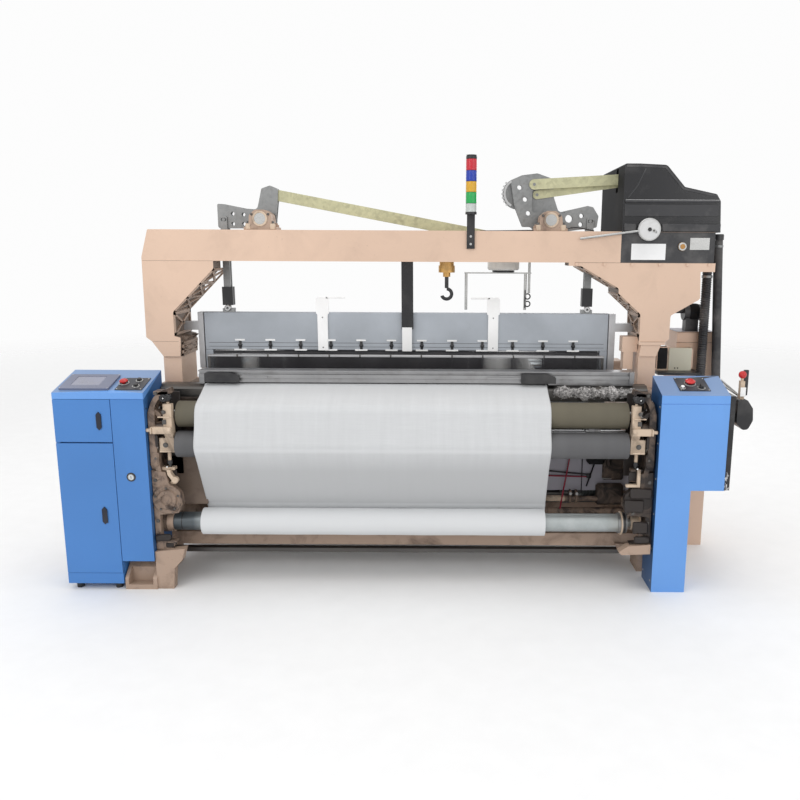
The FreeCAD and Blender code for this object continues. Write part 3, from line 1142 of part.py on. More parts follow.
def build_guides():
    y0, y1 = SHAFT_FIRST_Y - 5, SHAFT_FIRST_Y + 3 * SHAFT_PITCH + SHAFT_THICK + 5
    guides = []
    for near, far, wall in ((SHAFT_LEFT - 3, SHAFT_LEFT - 32, -1190),
                            (SHAFT_RIGHT + 3, SHAFT_RIGHT + 37, 1206)):
        x0, x1 = sorted((near, far))
        rail = box(x0, x1, y0, y1, FRAME_TOP + 71, SHAFT_TOP)
        b0, b1 = sorted((far, wall))
        guides.append(join(rail, box(b0, b1, y0 + 5, y1 - 5, 1255, 1300)))

    rear = ARCH_FRONT + BEAM_DEPTH
    x0, x1 = STRAP_X
    strap = box(x0, x1, rear, rear + 6, 1265, 1690)
    screws = [rod("y", rear + 5, rear + 9, (x0 + x1) / 2, z, 6) for z in (1640, 1665)]
    tongue = slab("xz", [(x0 + 3, 1148, 4), (x1 - 7, 1148, 4), (x1 - 7, 1275), (x0 + 3, 1275)],
                  rear - 7, rear)
    save("frame_guides", join(strap, *screws), tongue, *guides)


def build_hook():
    x, y = HOOK_X, ARCH_FRONT + BEAM_DEPTH / 2
    swivel = join(rod("z", BEAM_BOTTOM - 20, BEAM_BOTTOM, x, y, 37),
                  rod("z", BEAM_BOTTOM - 54, BEAM_BOTTOM - 19, x, y, 42),
                  rod("z", BEAM_BOTTOM - 76, BEAM_BOTTOM - 53, x, y, 19),
                  rod("z", BEAM_BOTTOM - 134, BEAM_BOTTOM - 75, x, y, 10))
    centre = V(x, y, BEAM_BOTTOM - 164)
    circle = Part.Circle(centre + V(0, 0, 26), V(1, 0, 0), 9)
    hook = Part.Face(Part.Wire(circle.toShape())).revolve(centre, V(0, 1, 0), 250)
    save("arch_hook", join(swivel, hook))


def build_yarn_stand():
    rear = ARCH_FRONT + BEAM_DEPTH
    x = STAND_HANGER_X
    pieces = [box(x - 8, x + 8, rear, STAND_Y + 8, BEAM_BOTTOM + 5, BEAM_BOTTOM + 20),
              rod("z", 1450, BEAM_BOTTOM + 6, x, STAND_Y, 7),
              box(STAND_POSTS[0] - 10, x + 10, STAND_Y - 14, STAND_Y + 14,
                  STAND_BAR_Z, STAND_BAR_Z + 8)]
    for post in STAND_POSTS:
        pieces.append(rod("z", 1359, STAND_BAR_Z + 1, post, STAND_Y, 8))
    pieces.append(rod("z", STAND_BAR_Z + 7, STAND_BAR_Z + 18, PACKAGE_X, STAND_Y, 60))
    pieces.append(rod("z", STAND_BAR_Z + 17, STAND_BAR_Z + 60, PACKAGE_X, STAND_Y, 12))
    save("yarn_stand", join(pieces[0], *pieces[1:]))
    base = STAND_BAR_Z + 18
    package = turned([(12, 0), (PACKAGE_RADIUS - 6, 0), (PACKAGE_RADIUS, 8),
                      (PACKAGE_RADIUS - 14, 150), (PACKAGE_RADIUS - 22, 158), (12, 158)],
                     V(PACKAGE_X, STAND_Y, base), V(0, 0, 1))
    save("yarn_package", cut(package, rod("z", base - 1, base + 160, PACKAGE_X, STAND_Y, 12)))


# ======================================================================
# Drive motor, hoses and rear box
# ======================================================================

def build_drive():
    y, z = 640.0, 400.0
    body = rod("x", 960, 1180, y, z, 100)
    fins = [rod("x", x, x + 6, y, z, 108) for x in range(985, 1150, 18)]
    nose = rod("x", 1179, 1205, y, z, 60)
    shaft = rod("x", 1204, 1216, y, z, 14)
    bracket = join(box(990, FRAME_INNER, y - 90, y + 90, 306, 316),
                   box(1000, 1160, y - 60, y + 60, 315, 340))
    save("drive_motor", join(body, nose, shaft, bracket, *fins))


def ribbed_hose(x, y, low, high):
    """Corrugated hose: four circles for each rib, ruled from one to the next."""
    straight = 2 * RIBBED_RADIUS
    count = int((high - low - 2 * straight) // RIB_PITCH)
    start = low + (high - low - count * RIB_PITCH) / 2
    valley = (RIBBED_RADIUS + RIBBED_BORE) / 2
    rings = [(low, valley)]
    for i in range(count):
        z = start + i * RIB_PITCH
        rings += [(z, valley), (z + RIB_PITCH * 0.25, RIBBED_RADIUS),
                  (z + RIB_PITCH * 0.6, RIBBED_RADIUS), (z + RIB_PITCH * 0.85, valley)]
    rings.append((high, valley))
    wires = []
    for z, radius in rings:
        circle = Part.Circle(V(x, y, z), V(0, 0, 1), radius)
        wires.append(Part.Wire(circle.toShape()))
    hose = Part.makeLoft(wires, True, True)
    return cut(hose, rod("z", low - 1, high + 1, x, y, RIBBED_BORE))


def build_hoses():
    elbow = box(1573, RIBBED_X + 20, HOSE_Y - 30, HOSE_Y, RIBBED_TOP + 6, RIBBED_TOP + 46)
    ribbed_cap = rod("z", RIBBED_TOP, RIBBED_TOP + 40, RIBBED_X, HOSE_Y, RIBBED_RADIUS + 2)
    arm = box(CASE_RIGHT, SMOOTH_TOP_X + 10, HOSE_Y - 14, HOSE_Y + 14, SMOOTH_TOP, SMOOTH_TOP + 28)
    smooth_cap = rod("z", SMOOTH_TOP, SMOOTH_TOP + 30, SMOOTH_TOP_X, HOSE_Y, SMOOTH_RADIUS + 4)
    ring = [Part.Wire(Part.Circle(V(SMOOTH_BOTTOM_X, HOSE_Y, SHELF_TOP), V(0, 0, 1), r).toShape())
            for r in (SMOOTH_RADIUS, SMOOTH_RADIUS - 5)]
    smooth = Part.Face(ring).extrude(V(SMOOTH_TOP_X - SMOOTH_BOTTOM_X, 0, SMOOTH_TOP - SHELF_TOP))
    save("rear_hoses", ribbed_hose(RIBBED_X, HOSE_Y, SHELF_TOP, RIBBED_TOP), smooth,
         join(elbow, ribbed_cap), join(arm, smooth_cap))

    body = box(BOX_LEFT, BOX_RIGHT, BOX_FRONT, BOX_REAR, 0, BOX_TOP - 4)
    lid = box(BOX_LEFT - 3, BOX_RIGHT + 3, BOX_FRONT - 3, BOX_REAR + 3, BOX_TOP - 5, BOX_TOP)
    seam = box(BOX_LEFT - 1, BOX_RIGHT + 1, BOX_FRONT - 1, BOX_FRONT + 2, 1172, 1176)
    panel = box(1435, 1560, BOX_FRONT - 48, BOX_FRONT + 1, 1033, 1158)
    hinge = box(1560, 1570, BOX_FRONT - 40, BOX_FRONT + 1, 1045, 1150)
    ledge = box(1355, 1586, BOX_FRONT - 140, BOX_FRONT + 1, 1022, 1034)
    shelf = box(RIBBED_X - 50, REACH_RIGHT, HOSE_Y - 30, BOX_FRONT + 1, SHELF_TOP - 40, SHELF_TOP)
    device = box(1368, 1436, BOX_FRONT - 48, BOX_FRONT - 8, 1033, 1165)
    x0, x1 = BLOWER_ENDS
    blower = join(rod("x", x0, x1, BLOWER_Y, BLOWER_Z, BLOWER_RADIUS),
                  rod("x", x0 - SPOUT_LENGTH, x0 + 1, BLOWER_Y, BLOWER_Z + 15, SPOUT_RADIUS),
                  box(x0 + 10, x1 - 30, BLOWER_Y - 30, BLOWER_Y + 30, BOX_TOP - 1, BLOWER_Z))
    save("rear_box", join(cut(join(body, lid), seam), panel, hinge, ledge, shelf, device, blower))


def main():
    os.makedirs("parts", exist_ok=True)
    build_frames()
    build_arch()
    build_left_cabinet()
    build_right_cabinet()
    build_rollers()
    build_brackets()
    build_cloth()
    build_breast()
    build_warp_side()
    build_sley()
    build_heald_frames()
    build_levers()
    build_bearings()
    build_shedding()
    build_brake()
    build_tower()
    build_guides()
    build_hook()
    build_yarn_stand()
    build_drive()
    build_hoses()


main()
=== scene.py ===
"""Finish, cloth, wires and small fittings of a power loom, built around its fixed frame.

Metres. Places are given from the loom's own home point: x = 0 is the middle of the weaving
width, y = 0 the front of the control cabinets and z = 0 the floor.
"""

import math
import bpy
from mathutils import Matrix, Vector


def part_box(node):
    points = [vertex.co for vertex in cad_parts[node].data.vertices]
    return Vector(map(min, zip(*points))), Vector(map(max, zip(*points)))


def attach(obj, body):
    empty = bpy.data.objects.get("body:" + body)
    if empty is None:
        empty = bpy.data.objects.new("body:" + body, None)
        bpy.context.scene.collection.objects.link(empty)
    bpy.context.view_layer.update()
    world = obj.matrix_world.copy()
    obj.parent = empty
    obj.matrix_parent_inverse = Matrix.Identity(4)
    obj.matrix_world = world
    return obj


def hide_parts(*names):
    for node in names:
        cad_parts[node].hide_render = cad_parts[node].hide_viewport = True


bl_info = {
    "name": "Power loom dress",
    "version": (1, 0, 0),
    "blender": (4, 5, 0),
    "location": "View3D > Sidebar > Loom",
    "description": "Builds the finish, cloth, wires and fittings of a power loom",
    "category": "Add Mesh",
}

import bmesh
import bpy
import numpy as np
from bpy.props import FloatProperty, FloatVectorProperty, IntProperty, PointerProperty
from mathutils import Matrix, Vector

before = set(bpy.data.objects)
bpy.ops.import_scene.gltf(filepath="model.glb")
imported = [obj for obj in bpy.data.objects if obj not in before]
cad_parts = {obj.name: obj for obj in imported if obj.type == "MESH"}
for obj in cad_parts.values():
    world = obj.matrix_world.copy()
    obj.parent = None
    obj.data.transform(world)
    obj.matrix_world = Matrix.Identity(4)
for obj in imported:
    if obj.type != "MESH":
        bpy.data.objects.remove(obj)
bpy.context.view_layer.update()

HOME = np.array([sum(corner.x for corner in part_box("breast_beam")) / 2,
                 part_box("right_cabinet")[0].y, 0.0])
FRAME_BODY = "loom_frame"
AHEAD = (0, -1, 0)        # towards the weaver
RIGHT = (1, 0, 0)
UP = (0, 0, 1)
CURVE_SIDES = 32
SMOOTH_ANGLE = math.radians(38)


def span(node):
    """Lowest and highest corner of a frame node, from the home point."""
    low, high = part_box(node)
    return np.array(low) - HOME, np.array(high) - HOME


# ---- driving places, read from the frame ----
CLOTH_LOW, CLOTH_HIGH = span("cloth")
CLOTH_LEFT, CLOTH_RIGHT = CLOTH_LOW[0], CLOTH_HIGH[0]
CLOTH_TOP = CLOTH_HIGH[2] - 0.002
FELL_Y = CLOTH_HIGH[1]
CLOTH_NOSE_Y = 0.24


def roller(node):
    """Axis (y, z) and radius of a roller node."""
    low, high = span(node)
    return (low[1] + high[1]) / 2, (low[2] + high[2]) / 2, (high[1] - low[1]) / 2


TAKE_UP = roller("take_up_roller")
PRESS = roller("press_roller")
ROLL = roller("cloth_roll")
BACK_REST = roller("back_rest_roller")
WARP_FLANGE = roller("warp_beam")
WARP_YARN_RADIUS = 0.25
TUBE_RADIUS = 0.046
CLOTH_OFF = 0.0015        # cloth's middle plane over a roller
LEFT_SLOPE = math.atan2(0.072, 0.255)
RIGHT_SLOPE = math.atan2(0.066, 0.19)
CABINET_FRONT = 1.002


# ---- Shapes: each returns (points, faces) ----

def grid_faces(rows, cols, wrap_rows=False, wrap_cols=False):
    """Four-sided faces of a rows by cols grid of points."""
    r, c = np.meshgrid(np.arange(rows if wrap_rows else rows - 1),
                       np.arange(cols if wrap_cols else cols - 1), indexing="ij")
    r, c = r.ravel(), c.ravel()
    r1, c1 = (r + 1) % rows, (c + 1) % cols
    return np.stack([r * cols + c, r1 * cols + c, r1 * cols + c1, r * cols + c1], axis=1).tolist()


def unit(v):
    return v / np.maximum(np.linalg.norm(v, axis=-1, keepdims=True), 1e-12)


def tube(path, radius, sides=12, up=UP):
    """Circle of a radius, which may change along the path, carried along the path's points."""
    path = np.asarray(path, float)
    run = unit(np.gradient(path, axis=0))
    side = unit(np.cross(run, np.asarray(up, float)))
    lift = np.cross(side, run)
    turn = np.linspace(0, 2 * np.pi, sides, endpoint=False)
    ring = np.cos(turn)[None, :, None] * side[:, None] + np.sin(turn)[None, :, None] * lift[:, None]
    radius = np.broadcast_to(radius, len(path))[:, None, None]
    points = (path[:, None] + radius * ring).reshape(-1, 3)
    faces = grid_faces(len(path), sides, wrap_cols=True)
    faces += [list(range(sides)), list(range(len(points) - sides, len(points)))]
    return points, faces


def rod(start, end, radius, sides=16):
    """Straight round bar between two points."""
    start, end = np.asarray(start, float), np.asarray(end, float)
    up = (0, 0, 1) if abs(end[2] - start[2]) < 0.9 * np.linalg.norm(end - start) else (0, 1, 0)
    return tube(np.stack([start, end]), radius, sides, up)


def lathe(profile, centre, axis, sides=CURVE_SIDES):
    """Outline of (radius, height) points turned round an axis through a point."""
    profile = np.asarray(profile, float)
    axis = unit(np.asarray(axis, float))
    helper = np.array([0.0, 0.0, 1.0]) if abs(axis[2]) < 0.9 else np.array([1.0, 0.0, 0.0])
    side = unit(np.cross(axis, helper))
    lift = np.cross(axis, side)
    turn = np.linspace(0, 2 * np.pi, sides, endpoint=False)
    ring = np.cos(turn)[:, None] * side + np.sin(turn)[:, None] * lift
    points = (np.asarray(centre, float) + profile[:, None, :1] * ring[None]
              + profile[:, None, 1:] * axis).reshape(-1, 3)
    return points, grid_faces(len(profile), sides, wrap_cols=True)


def block_faces():
    """Faces of a chamfered block whose corner k has one point per axis, at 3 * k + axis."""
    corners = np.array([[k & 1, k >> 1 & 1, k >> 2 & 1] for k in range(8)])
    faces = [[3 * k, 3 * k + 1, 3 * k + 2] for k in range(8)]
    for axis in range(3):
        others = [a for a in range(3) if a != axis]
        for sign in (0, 1):
            ring = [np.flatnonzero((corners[:, axis] == sign) & (corners[:, others[0]] == a)
                                   & (corners[:, others[1]] == b))[0]
                    for a, b in ((0, 0), (1, 0), (1, 1), (0, 1))]
            faces.append([3 * int(k) + axis for k in ring])
        for k in range(8):
            if corners[k, axis] == 0:
                twin = k | 1 << axis
                faces.append([3 * k + others[0], 3 * twin + others[0],
                              3 * twin + others[1], 3 * k + others[1]])
    return corners, faces


BLOCK_CORNERS, BLOCK_FACES = block_faces()


def block(low, high, chamfer=0.0015):
    """Block between two corners with a small chamfer on every edge."""
    low, high = np.asarray(low, float), np.asarray(high, float)
    chamfer = min(chamfer, 0.3 * float((high - low).min()))
    corner = np.where(BLOCK_CORNERS, high, low)
    inward = np.where(BLOCK_CORNERS, -chamfer, chamfer)
    points = corner[:, None] + inward[:, None] * (1 - np.eye(3))[None]
    return points.reshape(-1, 3), BLOCK_FACES


def blocks(*rows):
    """Blocks from rows of x, y and z ranges, each with its chamfer last where it has one."""
    return [block(row[0:6:2], row[1:6:2], *row[6:]) for row in rows]


def prism(outline, plane, start, end):
    """Flat outline carried square to its plane, from start to end."""
    outline = np.asarray(outline, float)
    axes = {"xz": (0, 2, 1), "yz": (1, 2, 0), "xy": (0, 1, 2)}[plane]
    count = len(outline)
    points = np.zeros((2 * count, 3))
    points[:, axes[0]] = np.tile(outline[:, 0], 2)
    points[:, axes[1]] = np.tile(outline[:, 1], 2)
    points[:, axes[2]] = np.repeat([start, end], count)
    i = np.arange(count)
    j = (i + 1) % count
    sides = np.stack([i, j, j + count, i + count], axis=1).tolist()
    return points, sides + [list(range(count)), list(range(count, 2 * count))]


def band(path, width, start, end):
    """Strap of a width along a line of (x, z) points, carried from y = start to end."""
    path = np.asarray(path, float)
    run = unit(np.gradient(path, axis=0))
    side = np.stack([-run[:, 1], run[:, 0]], axis=1) * width / 2
    return prism(np.vstack([path + side, (path - side)[::-1]]), "xz", start, end)


def ring(inner, outer, height, centre, axis, sides=32):
    """Flat ring with a softened outer edge."""
    soft = min(0.3 * height, 0.3 * (outer - inner))
    points = lathe([(inner, 0), (outer, 0), (outer, height - soft), (outer - soft, height),
                    (inner, height)], centre, axis, sides)[0]
    return points, grid_faces(5, sides, wrap_rows=True, wrap_cols=True)


def arc(centre, radius, start, end, count):
    """Points of an arc in a plane, by angle in degrees."""
    turn = np.radians(np.linspace(start, end, count))
    return np.stack([centre[0] + radius * np.cos(turn), centre[1] + radius * np.sin(turn)], axis=1)


def bolt(centre, axis, radius=0.009, height=0.007):
    """Six-sided bolt head with a chamfered top, on a round washer."""
    washer = lathe([(0, 0), (radius * 1.3, 0), (radius * 1.3, height * 0.22), (0, height * 0.22)],
                   centre, axis, 20)
    head = lathe([(0, height * 0.2), (radius, height * 0.2), (radius, height * 0.85),
                  (radius * 0.82, height), (0, height)], centre, axis, 6)
    return gather(washer, head)


def screw(centre, axis, radius=0.005, height=0.0025):
    """Domed screw head."""
    rise = np.linspace(0, 1, 5)
    profile = np.stack([radius * np.sqrt(1 - rise ** 2 * 0.999), height * rise], axis=1)
    return lathe(np.vstack([[0, 0], profile, [0, height]]), centre, axis, 12)


def smooth_path(points, count):
    """Evenly spaced points on a smooth line near given points: a cubic uniform B-spline
    with its end points repeated."""
    points = np.asarray(points, float)
    held = np.vstack([points[:1], points[:1], points, points[-1:], points[-1:]])
    t = np.linspace(0, len(held) - 3 - 1e-6, count)
    i = t.astype(int)
    u = (t - i)[:, None]
    a, b, c, d = (held[i + k] for k in range(4))
    return ((1 - u) ** 3 * a + (3 * u ** 3 - 6 * u ** 2 + 4) * b
            + (-3 * u ** 3 + 3 * u ** 2 + 3 * u + 1) * c + u ** 3 * d) / 6


def resample(path, count):
    """Points at even distances along a line of points."""
    path = np.asarray(path, float)
    step = np.linalg.norm(np.diff(path, axis=0), axis=1)
    along = np.concatenate([[0], np.cumsum(step)])
    even = np.linspace(0, along[-1], count)
    return np.stack([np.interp(even, along, path[:, k]) for k in range(path.shape[1])], axis=1)


def gather(*shapes):
    """Several shapes as one."""
    points, faces, offset = [], [], 0
    for shape_points, shape_faces in shapes:
        points.append(shape_points)
        faces.extend([[k + offset for k in face] for face in shape_faces])
        offset += len(shape_points)
    return np.vstack(points), faces


def many(make, places, *rest):
    """The same small part at each place."""
    return [make(place, *rest) for place in places]


def on_console(shape, x, slope):
    """Shape built flat (y up the slope, z off it) on a cabinet's sloped top."""
    points = shape[0] + [x, 0, 0]
    y, z = shape[0][:, 1], shape[0][:, 2]
    points[:, 1] = y * math.cos(slope) - z * math.sin(slope)
    points[:, 2] = CABINET_FRONT + y * math.sin(slope) + z * math.cos(slope)
    return points, shape[1]


def piece(name, looks, body=FRAME_BODY, replaces=(), uv=None, closed=True, weld=True):
    """Make one object from {finish: [shapes]}, at its place, riding on a body."""
    mesh = bpy.data.meshes.new(name)
    shapes, owner = [], []
    for number, (finish, group) in enumerate(looks.items()):
        mesh.materials.append(FINISHES[finish])
        shapes += group
        owner += [number] * sum(len(faces) for points, faces in group)
    points, faces = gather(*shapes)
    mesh.from_pydata((points + HOME).tolist(), [], faces)
    mesh.polygons.foreach_set("material_index", owner)
    if uv is not None:
        layer = mesh.uv_layers.new(name="UVMap")
        corner = np.zeros(len(mesh.loops), np.int32)
        mesh.loops.foreach_get("vertex_index", corner)
        layer.data.foreach_set("uv", uv[corner].astype(np.float32).ravel())
    if closed:
        work = bmesh.new()
        work.from_mesh(mesh)
        if weld:
            bmesh.ops.remove_doubles(work, verts=work.verts, dist=1e-6)
            bmesh.ops.dissolve_degenerate(work, edges=work.edges, dist=1e-7)
        bmesh.ops.recalc_face_normals(work, faces=work.faces)
        work.to_mesh(mesh)
        work.free()
    mesh.polygons.foreach_set("use_smooth", [True] * len(mesh.polygons))
    mesh.set_sharp_from_angle(angle=SMOOTH_ANGLE)
    mesh.update()
    made = bpy.data.objects.new(name, mesh)
    bpy.context.scene.collection.objects.link(made)
    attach(made, body)
    if replaces:
        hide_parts(*replaces)
    return made


def dress(node, base, *patches):
    """Give a frame node its finish, and others to the faces whose middle lies in a box, given
    as x, y and z ranges."""
    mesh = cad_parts[node].data
    mesh.materials.clear()
    mesh.materials.append(FINISHES[base])
    if not patches:
        return
    centres = np.zeros(3 * len(mesh.polygons))
    mesh.polygons.foreach_get("center", centres)
    centres = centres.reshape(-1, 3) - HOME
    index = np.zeros(len(mesh.polygons), np.int32)
    for number, (finish, *reach) in enumerate(patches, 1):
        mesh.materials.append(FINISHES[finish])
        index[((centres >= reach[::2]) & (centres <= reach[1::2])).all(axis=1)] = number
    mesh.polygons.foreach_set("material_index", index)
    mesh.update()


# ---- Materials ----

class Value:
    """A number from a shader node; sums, differences and products of it add Math nodes."""

    def __init__(self, finish, socket):
        self.finish = finish
        self.socket = socket

    def _math(self, operation, first, second):
        return self.finish.node("ShaderNodeMath", {"operation": operation},
                                {0: first, 1: second})

    def __add__(self, other):
        return self._math("ADD", self, other)

    __radd__ = __add__

    def __sub__(self, other):
        return self._math("SUBTRACT", self, other)

    def __rsub__(self, other):
        return self._math("SUBTRACT", other, self)

    def __mul__(self, other):
        return self._math("MULTIPLY", self, other)

    __rmul__ = __mul__


def rgba(colour):
    return (*colour[:3], 1.0)


def scaled(colour, share):
    """A colour made darker or lighter by a share."""
    return tuple(min(1.0, c * share) for c in colour[:3])


class Finish:
    """A material in the making: its nodes and its surface shader."""

    def __init__(self, name):
        self.material = bpy.data.materials.new(name)
        self.material.use_nodes = True
        self.tree = self.material.node_tree
        self.tree.nodes.clear()
        self.output = self.tree.nodes.new("ShaderNodeOutputMaterial")
        self.shader = self.tree.nodes.new("ShaderNodeBsdfPrincipled")
        self.tree.links.new(self.shader.outputs[0], self.output.inputs["Surface"])
        self.place = self.node("ShaderNodeTexCoord", out="Object")

    def feed(self, socket, value):
        """Set or link one input."""
        if isinstance(value, Value):
            self.tree.links.new(value.socket, socket)
        elif isinstance(value, (tuple, list)) and len(value) == 3 and socket.type == "RGBA":
            socket.default_value = rgba(value)
        else:
            socket.default_value = value

    def node(self, kind, settings=None, inputs=None, out=0):
        """Any node: its settings first, then its inputs; returns one output."""
        made = self.tree.nodes.new(kind)
        for key, value in (settings or {}).items():
            setattr(made, key, value)
        for key, value in (inputs or {}).items():
            self.feed(made.inputs[key], value)
        return Value(self, made.outputs[out])

    def stretched(self, scale, place=None):
        """Object coordinates scaled per axis."""
        return self.node("ShaderNodeMapping", None, {"Vector": place or self.place, "Scale": scale})

    def noise(self, scale, detail=3.0, roughness=0.5, place=None, distortion=0.0):
        return self.node("ShaderNodeTexNoise", None,
                         {"Vector": place or self.place, "Scale": scale, "Detail": detail,
                          "Roughness": roughness, "Distortion": distortion}, "Fac")

    def patches(self, low, high, *noise, **more):
        """Noise held between two levels: none below the low one, full above the high one."""
        return self.between(self.noise(*noise, **more), low, high)

    def wave(self, scale, axis="X", place=None, distortion=0.0):
        return self.node("ShaderNodeTexWave", {"bands_direction": axis},
                         {"Vector": place or self.place, "Scale": scale,
                          "Distortion": distortion}, "Fac")

    def between(self, value, low, high, start=0.0, end=1.0):
        """Value rescaled from low..high to start..end and held inside."""
        return self.node("ShaderNodeMapRange", {"clamp": True},
                         {"Value": value, "From Min": low, "From Max": high,
                          "To Min": start, "To Max": end})

    def blend(self, share, first, second):
        """Colour between two, by a share."""
        return self.node("ShaderNodeMix", {"data_type": "RGBA"},
                         {0: share, 6: first, 7: second}, 2)

    def height(self, axis):
        """One object coordinate."""
        return self.node("ShaderNodeSeparateXYZ", None, {0: self.place}, axis)

    def bump(self, height, distance, strength=1.0, under=None):
        """Normal from a height field, laid over another normal."""
        inputs = {"Height": height, "Distance": distance, "Strength": strength}
        if under is not None:
            inputs["Normal"] = under
        return self.node("ShaderNodeBump", None, inputs)

    def done(self, **inputs):
        """Feed the surface shader; underscores stand for the spaces in its inputs' names."""
        for key, value in inputs.items():
            self.feed(self.shader.inputs[key.replace("_", " ")], value)
        return self.material


def enamel(name, colour, grime, dirt=0.3, gloss=0.42, pebble=0.0006):
    """Machine enamel over a casting: slow tone drift, brown oil stains and dust specks, with
    the casting's pebble under the paint."""
    f = Finish(name)
    drift = f.patches(0.3, 0.7, 1.7, 3)
    stain = f.patches(0.5, 0.72, 6.0, 7, 0.62, distortion=0.6) * dirt
    speck = f.patches(0.72, 0.77, 95.0, 2) * min(0.8, dirt * 1.6)
    tone = f.blend(drift, scaled(colour, 0.94), scaled(colour, 1.05))
    tone = f.blend(stain, tone, grime)
    tone = f.blend(speck, tone, scaled(grime, 0.5))
    peel = f.noise(260.0, 2)
    lumps = f.bump(f.noise(34.0, 4), pebble, 0.8)
    rough = f.between(stain + drift * 0.15, 0.0, 0.6, gloss, gloss + 0.25)
    return f.done(Base_Color=tone, Roughness=rough, Normal=f.bump(peel, 0.00012, 0.5, lumps),
                  Coat_Roughness=0.3, Specular_IOR_Level=0.45)


def oily(name, colour, oil, share=0.5, gloss=0.34):
    """Casting under old oil: paint that shows through in worn patches, dark runs downwards and
    wet spots."""
    f = Finish(name)
    worn = f.between(f.noise(11.0, 7, 0.68, distortion=0.8), 0.62 - share * 0.3, 0.72 - share * 0.2)
    runs = f.patches(0.45, 0.7, 26.0, 5, 0.6, f.stretched((1.0, 1.0, 0.15)))
    tone = f.blend(worn, colour, oil)
    tone = f.blend(runs * 0.45, tone, scaled(oil, 0.6))
    wet = f.between(worn + runs * 0.5, 0.0, 1.4, gloss + 0.28, gloss)
    return f.done(Base_Color=tone, Roughness=wet,
                  Normal=f.bump(f.noise(48.0, 4), 0.0012, 0.8), Specular_IOR_Level=0.4)


def sheet_paint(name, colour, light, scuff, gloss=0.36):
    """Sheet-metal paint: even colour that drifts a little, orange peel, faint rubbed marks and
    dust that gathers in soft patches."""
    f = Finish(name)
    drift = f.patches(0.3, 0.7, 1.3, 2)
    rub = f.patches(0.55, 0.8, 3.0, 8, 0.7, f.stretched((1.0, 1.0, 0.22))) * 0.35
    chip = f.patches(0.76, 0.79, 70.0, 3) * 0.5
    tone = f.blend(drift, colour, light)
    tone = f.blend(rub, tone, scaled(light, 1.15))
    tone = f.blend(chip, tone, scuff)
    peel = f.noise(150.0, 3)
    rough = f.between(rub + drift * 0.2, 0.0, 0.5, gloss, gloss + 0.2)
    return f.done(Base_Color=tone, Roughness=rough, Normal=f.bump(peel, 0.00016, 0.6),
                  Specular_IOR_Level=0.5)


STAIN = (0.1, 0.08, 0.06)


def metal(name, colour, gloss=0.3, along=(1.0, 1.0, 1.0), scale=60.0, stain=0.2,
          stain_colour=STAIN, metallic=1.0):
    """Machined metal: fine tool lines in one direction, tone drift and dull stains."""
    f = Finish(name)
    lines = f.noise(scale, 4, 0.6, f.stretched(along))
    drift = f.patches(0.3, 0.7, 4.0, 4)
    spot = f.patches(0.52, 0.75, 13.0, 6, 0.65) * stain
    tone = f.blend(drift, scaled(colour, 0.86), scaled(colour, 1.08))
    tone = f.blend(spot, tone, stain_colour)
    rough = f.between(lines * 0.5 + spot, 0.1, 0.9, gloss * 0.8, gloss + 0.3)
    return f.done(Base_Color=tone, Metallic=f.between(spot, 0.0, 1.0, metallic, metallic * 0.4),
                  Roughness=rough, Normal=f.bump(lines, 0.00008, 0.7))


def zinc(name, colour, metallic=0.75):
    """Galvanised plate: angular crystals of slightly different greys, dull and bright."""
    f = Finish(name)
    crystal = f.node("ShaderNodeTexVoronoi", None, {"Vector": f.place, "Scale": 70.0}, "Color")
    shade = f.node("ShaderNodeSeparateColor", None, {0: crystal}, 0)
    drift = f.patches(0.3, 0.7, 9.0, 4)
    spot = f.patches(0.6, 0.75, 22.0, 5) * 0.35
    tone = f.blend(shade * 0.6 + drift * 0.4, scaled(colour, 0.8), scaled(colour, 1.15))
    tone = f.blend(spot, tone, (0.11, 0.09, 0.07))
    return f.done(Base_Color=tone, Metallic=metallic, Roughness=f.between(shade, 0.0, 1.0, 0.34, 0.55),
                  Normal=f.bump(shade, 0.00006, 0.5))


def moulded(name, colour, gloss=0.4, grain=220.0, depth=0.00012, dust=0.2, shine=0.5):
    """Moulded plastic or matt black coat: fine grain with grey dust in soft patches."""
    f = Finish(name)
    patch = f.patches(0.45, 0.75, 7.0, 5, 0.6) * dust
    tone = f.blend(f.patches(0.3, 0.7, 2.5, 2), scaled(colour, 0.85), scaled(colour, 1.2))
    tone = f.blend(patch, tone, (0.24, 0.23, 0.22))
    return f.done(Base_Color=tone, Roughness=f.between(patch, 0.0, 0.3, gloss, gloss + 0.25),
                  Normal=f.bump(f.noise(grain, 3), depth, 0.8), Specular_IOR_Level=shine)


def grip_cover(name, colour, low, high):
    """Roller covering: short wound grain round the roller, fine grit, darker rubbed bands."""
    f = Finish(name)
    band = f.patches(0.35, 0.65, 5.0, 3, 0.6, f.stretched((1.0, 0.02, 0.02)))
    grit = f.noise(420.0, 2)
    weave = f.wave(90.0, "X", distortion=1.5)
    tone = f.blend(band, low, high)
    tone = f.blend(grit * 0.35, tone, colour)
    return f.done(Base_Color=tone, Roughness=f.between(band + grit * 0.3, 0.0, 1.3, 0.62, 0.85),
                  Normal=f.bump(weave * 0.5 + grit, 0.00025, 0.8))


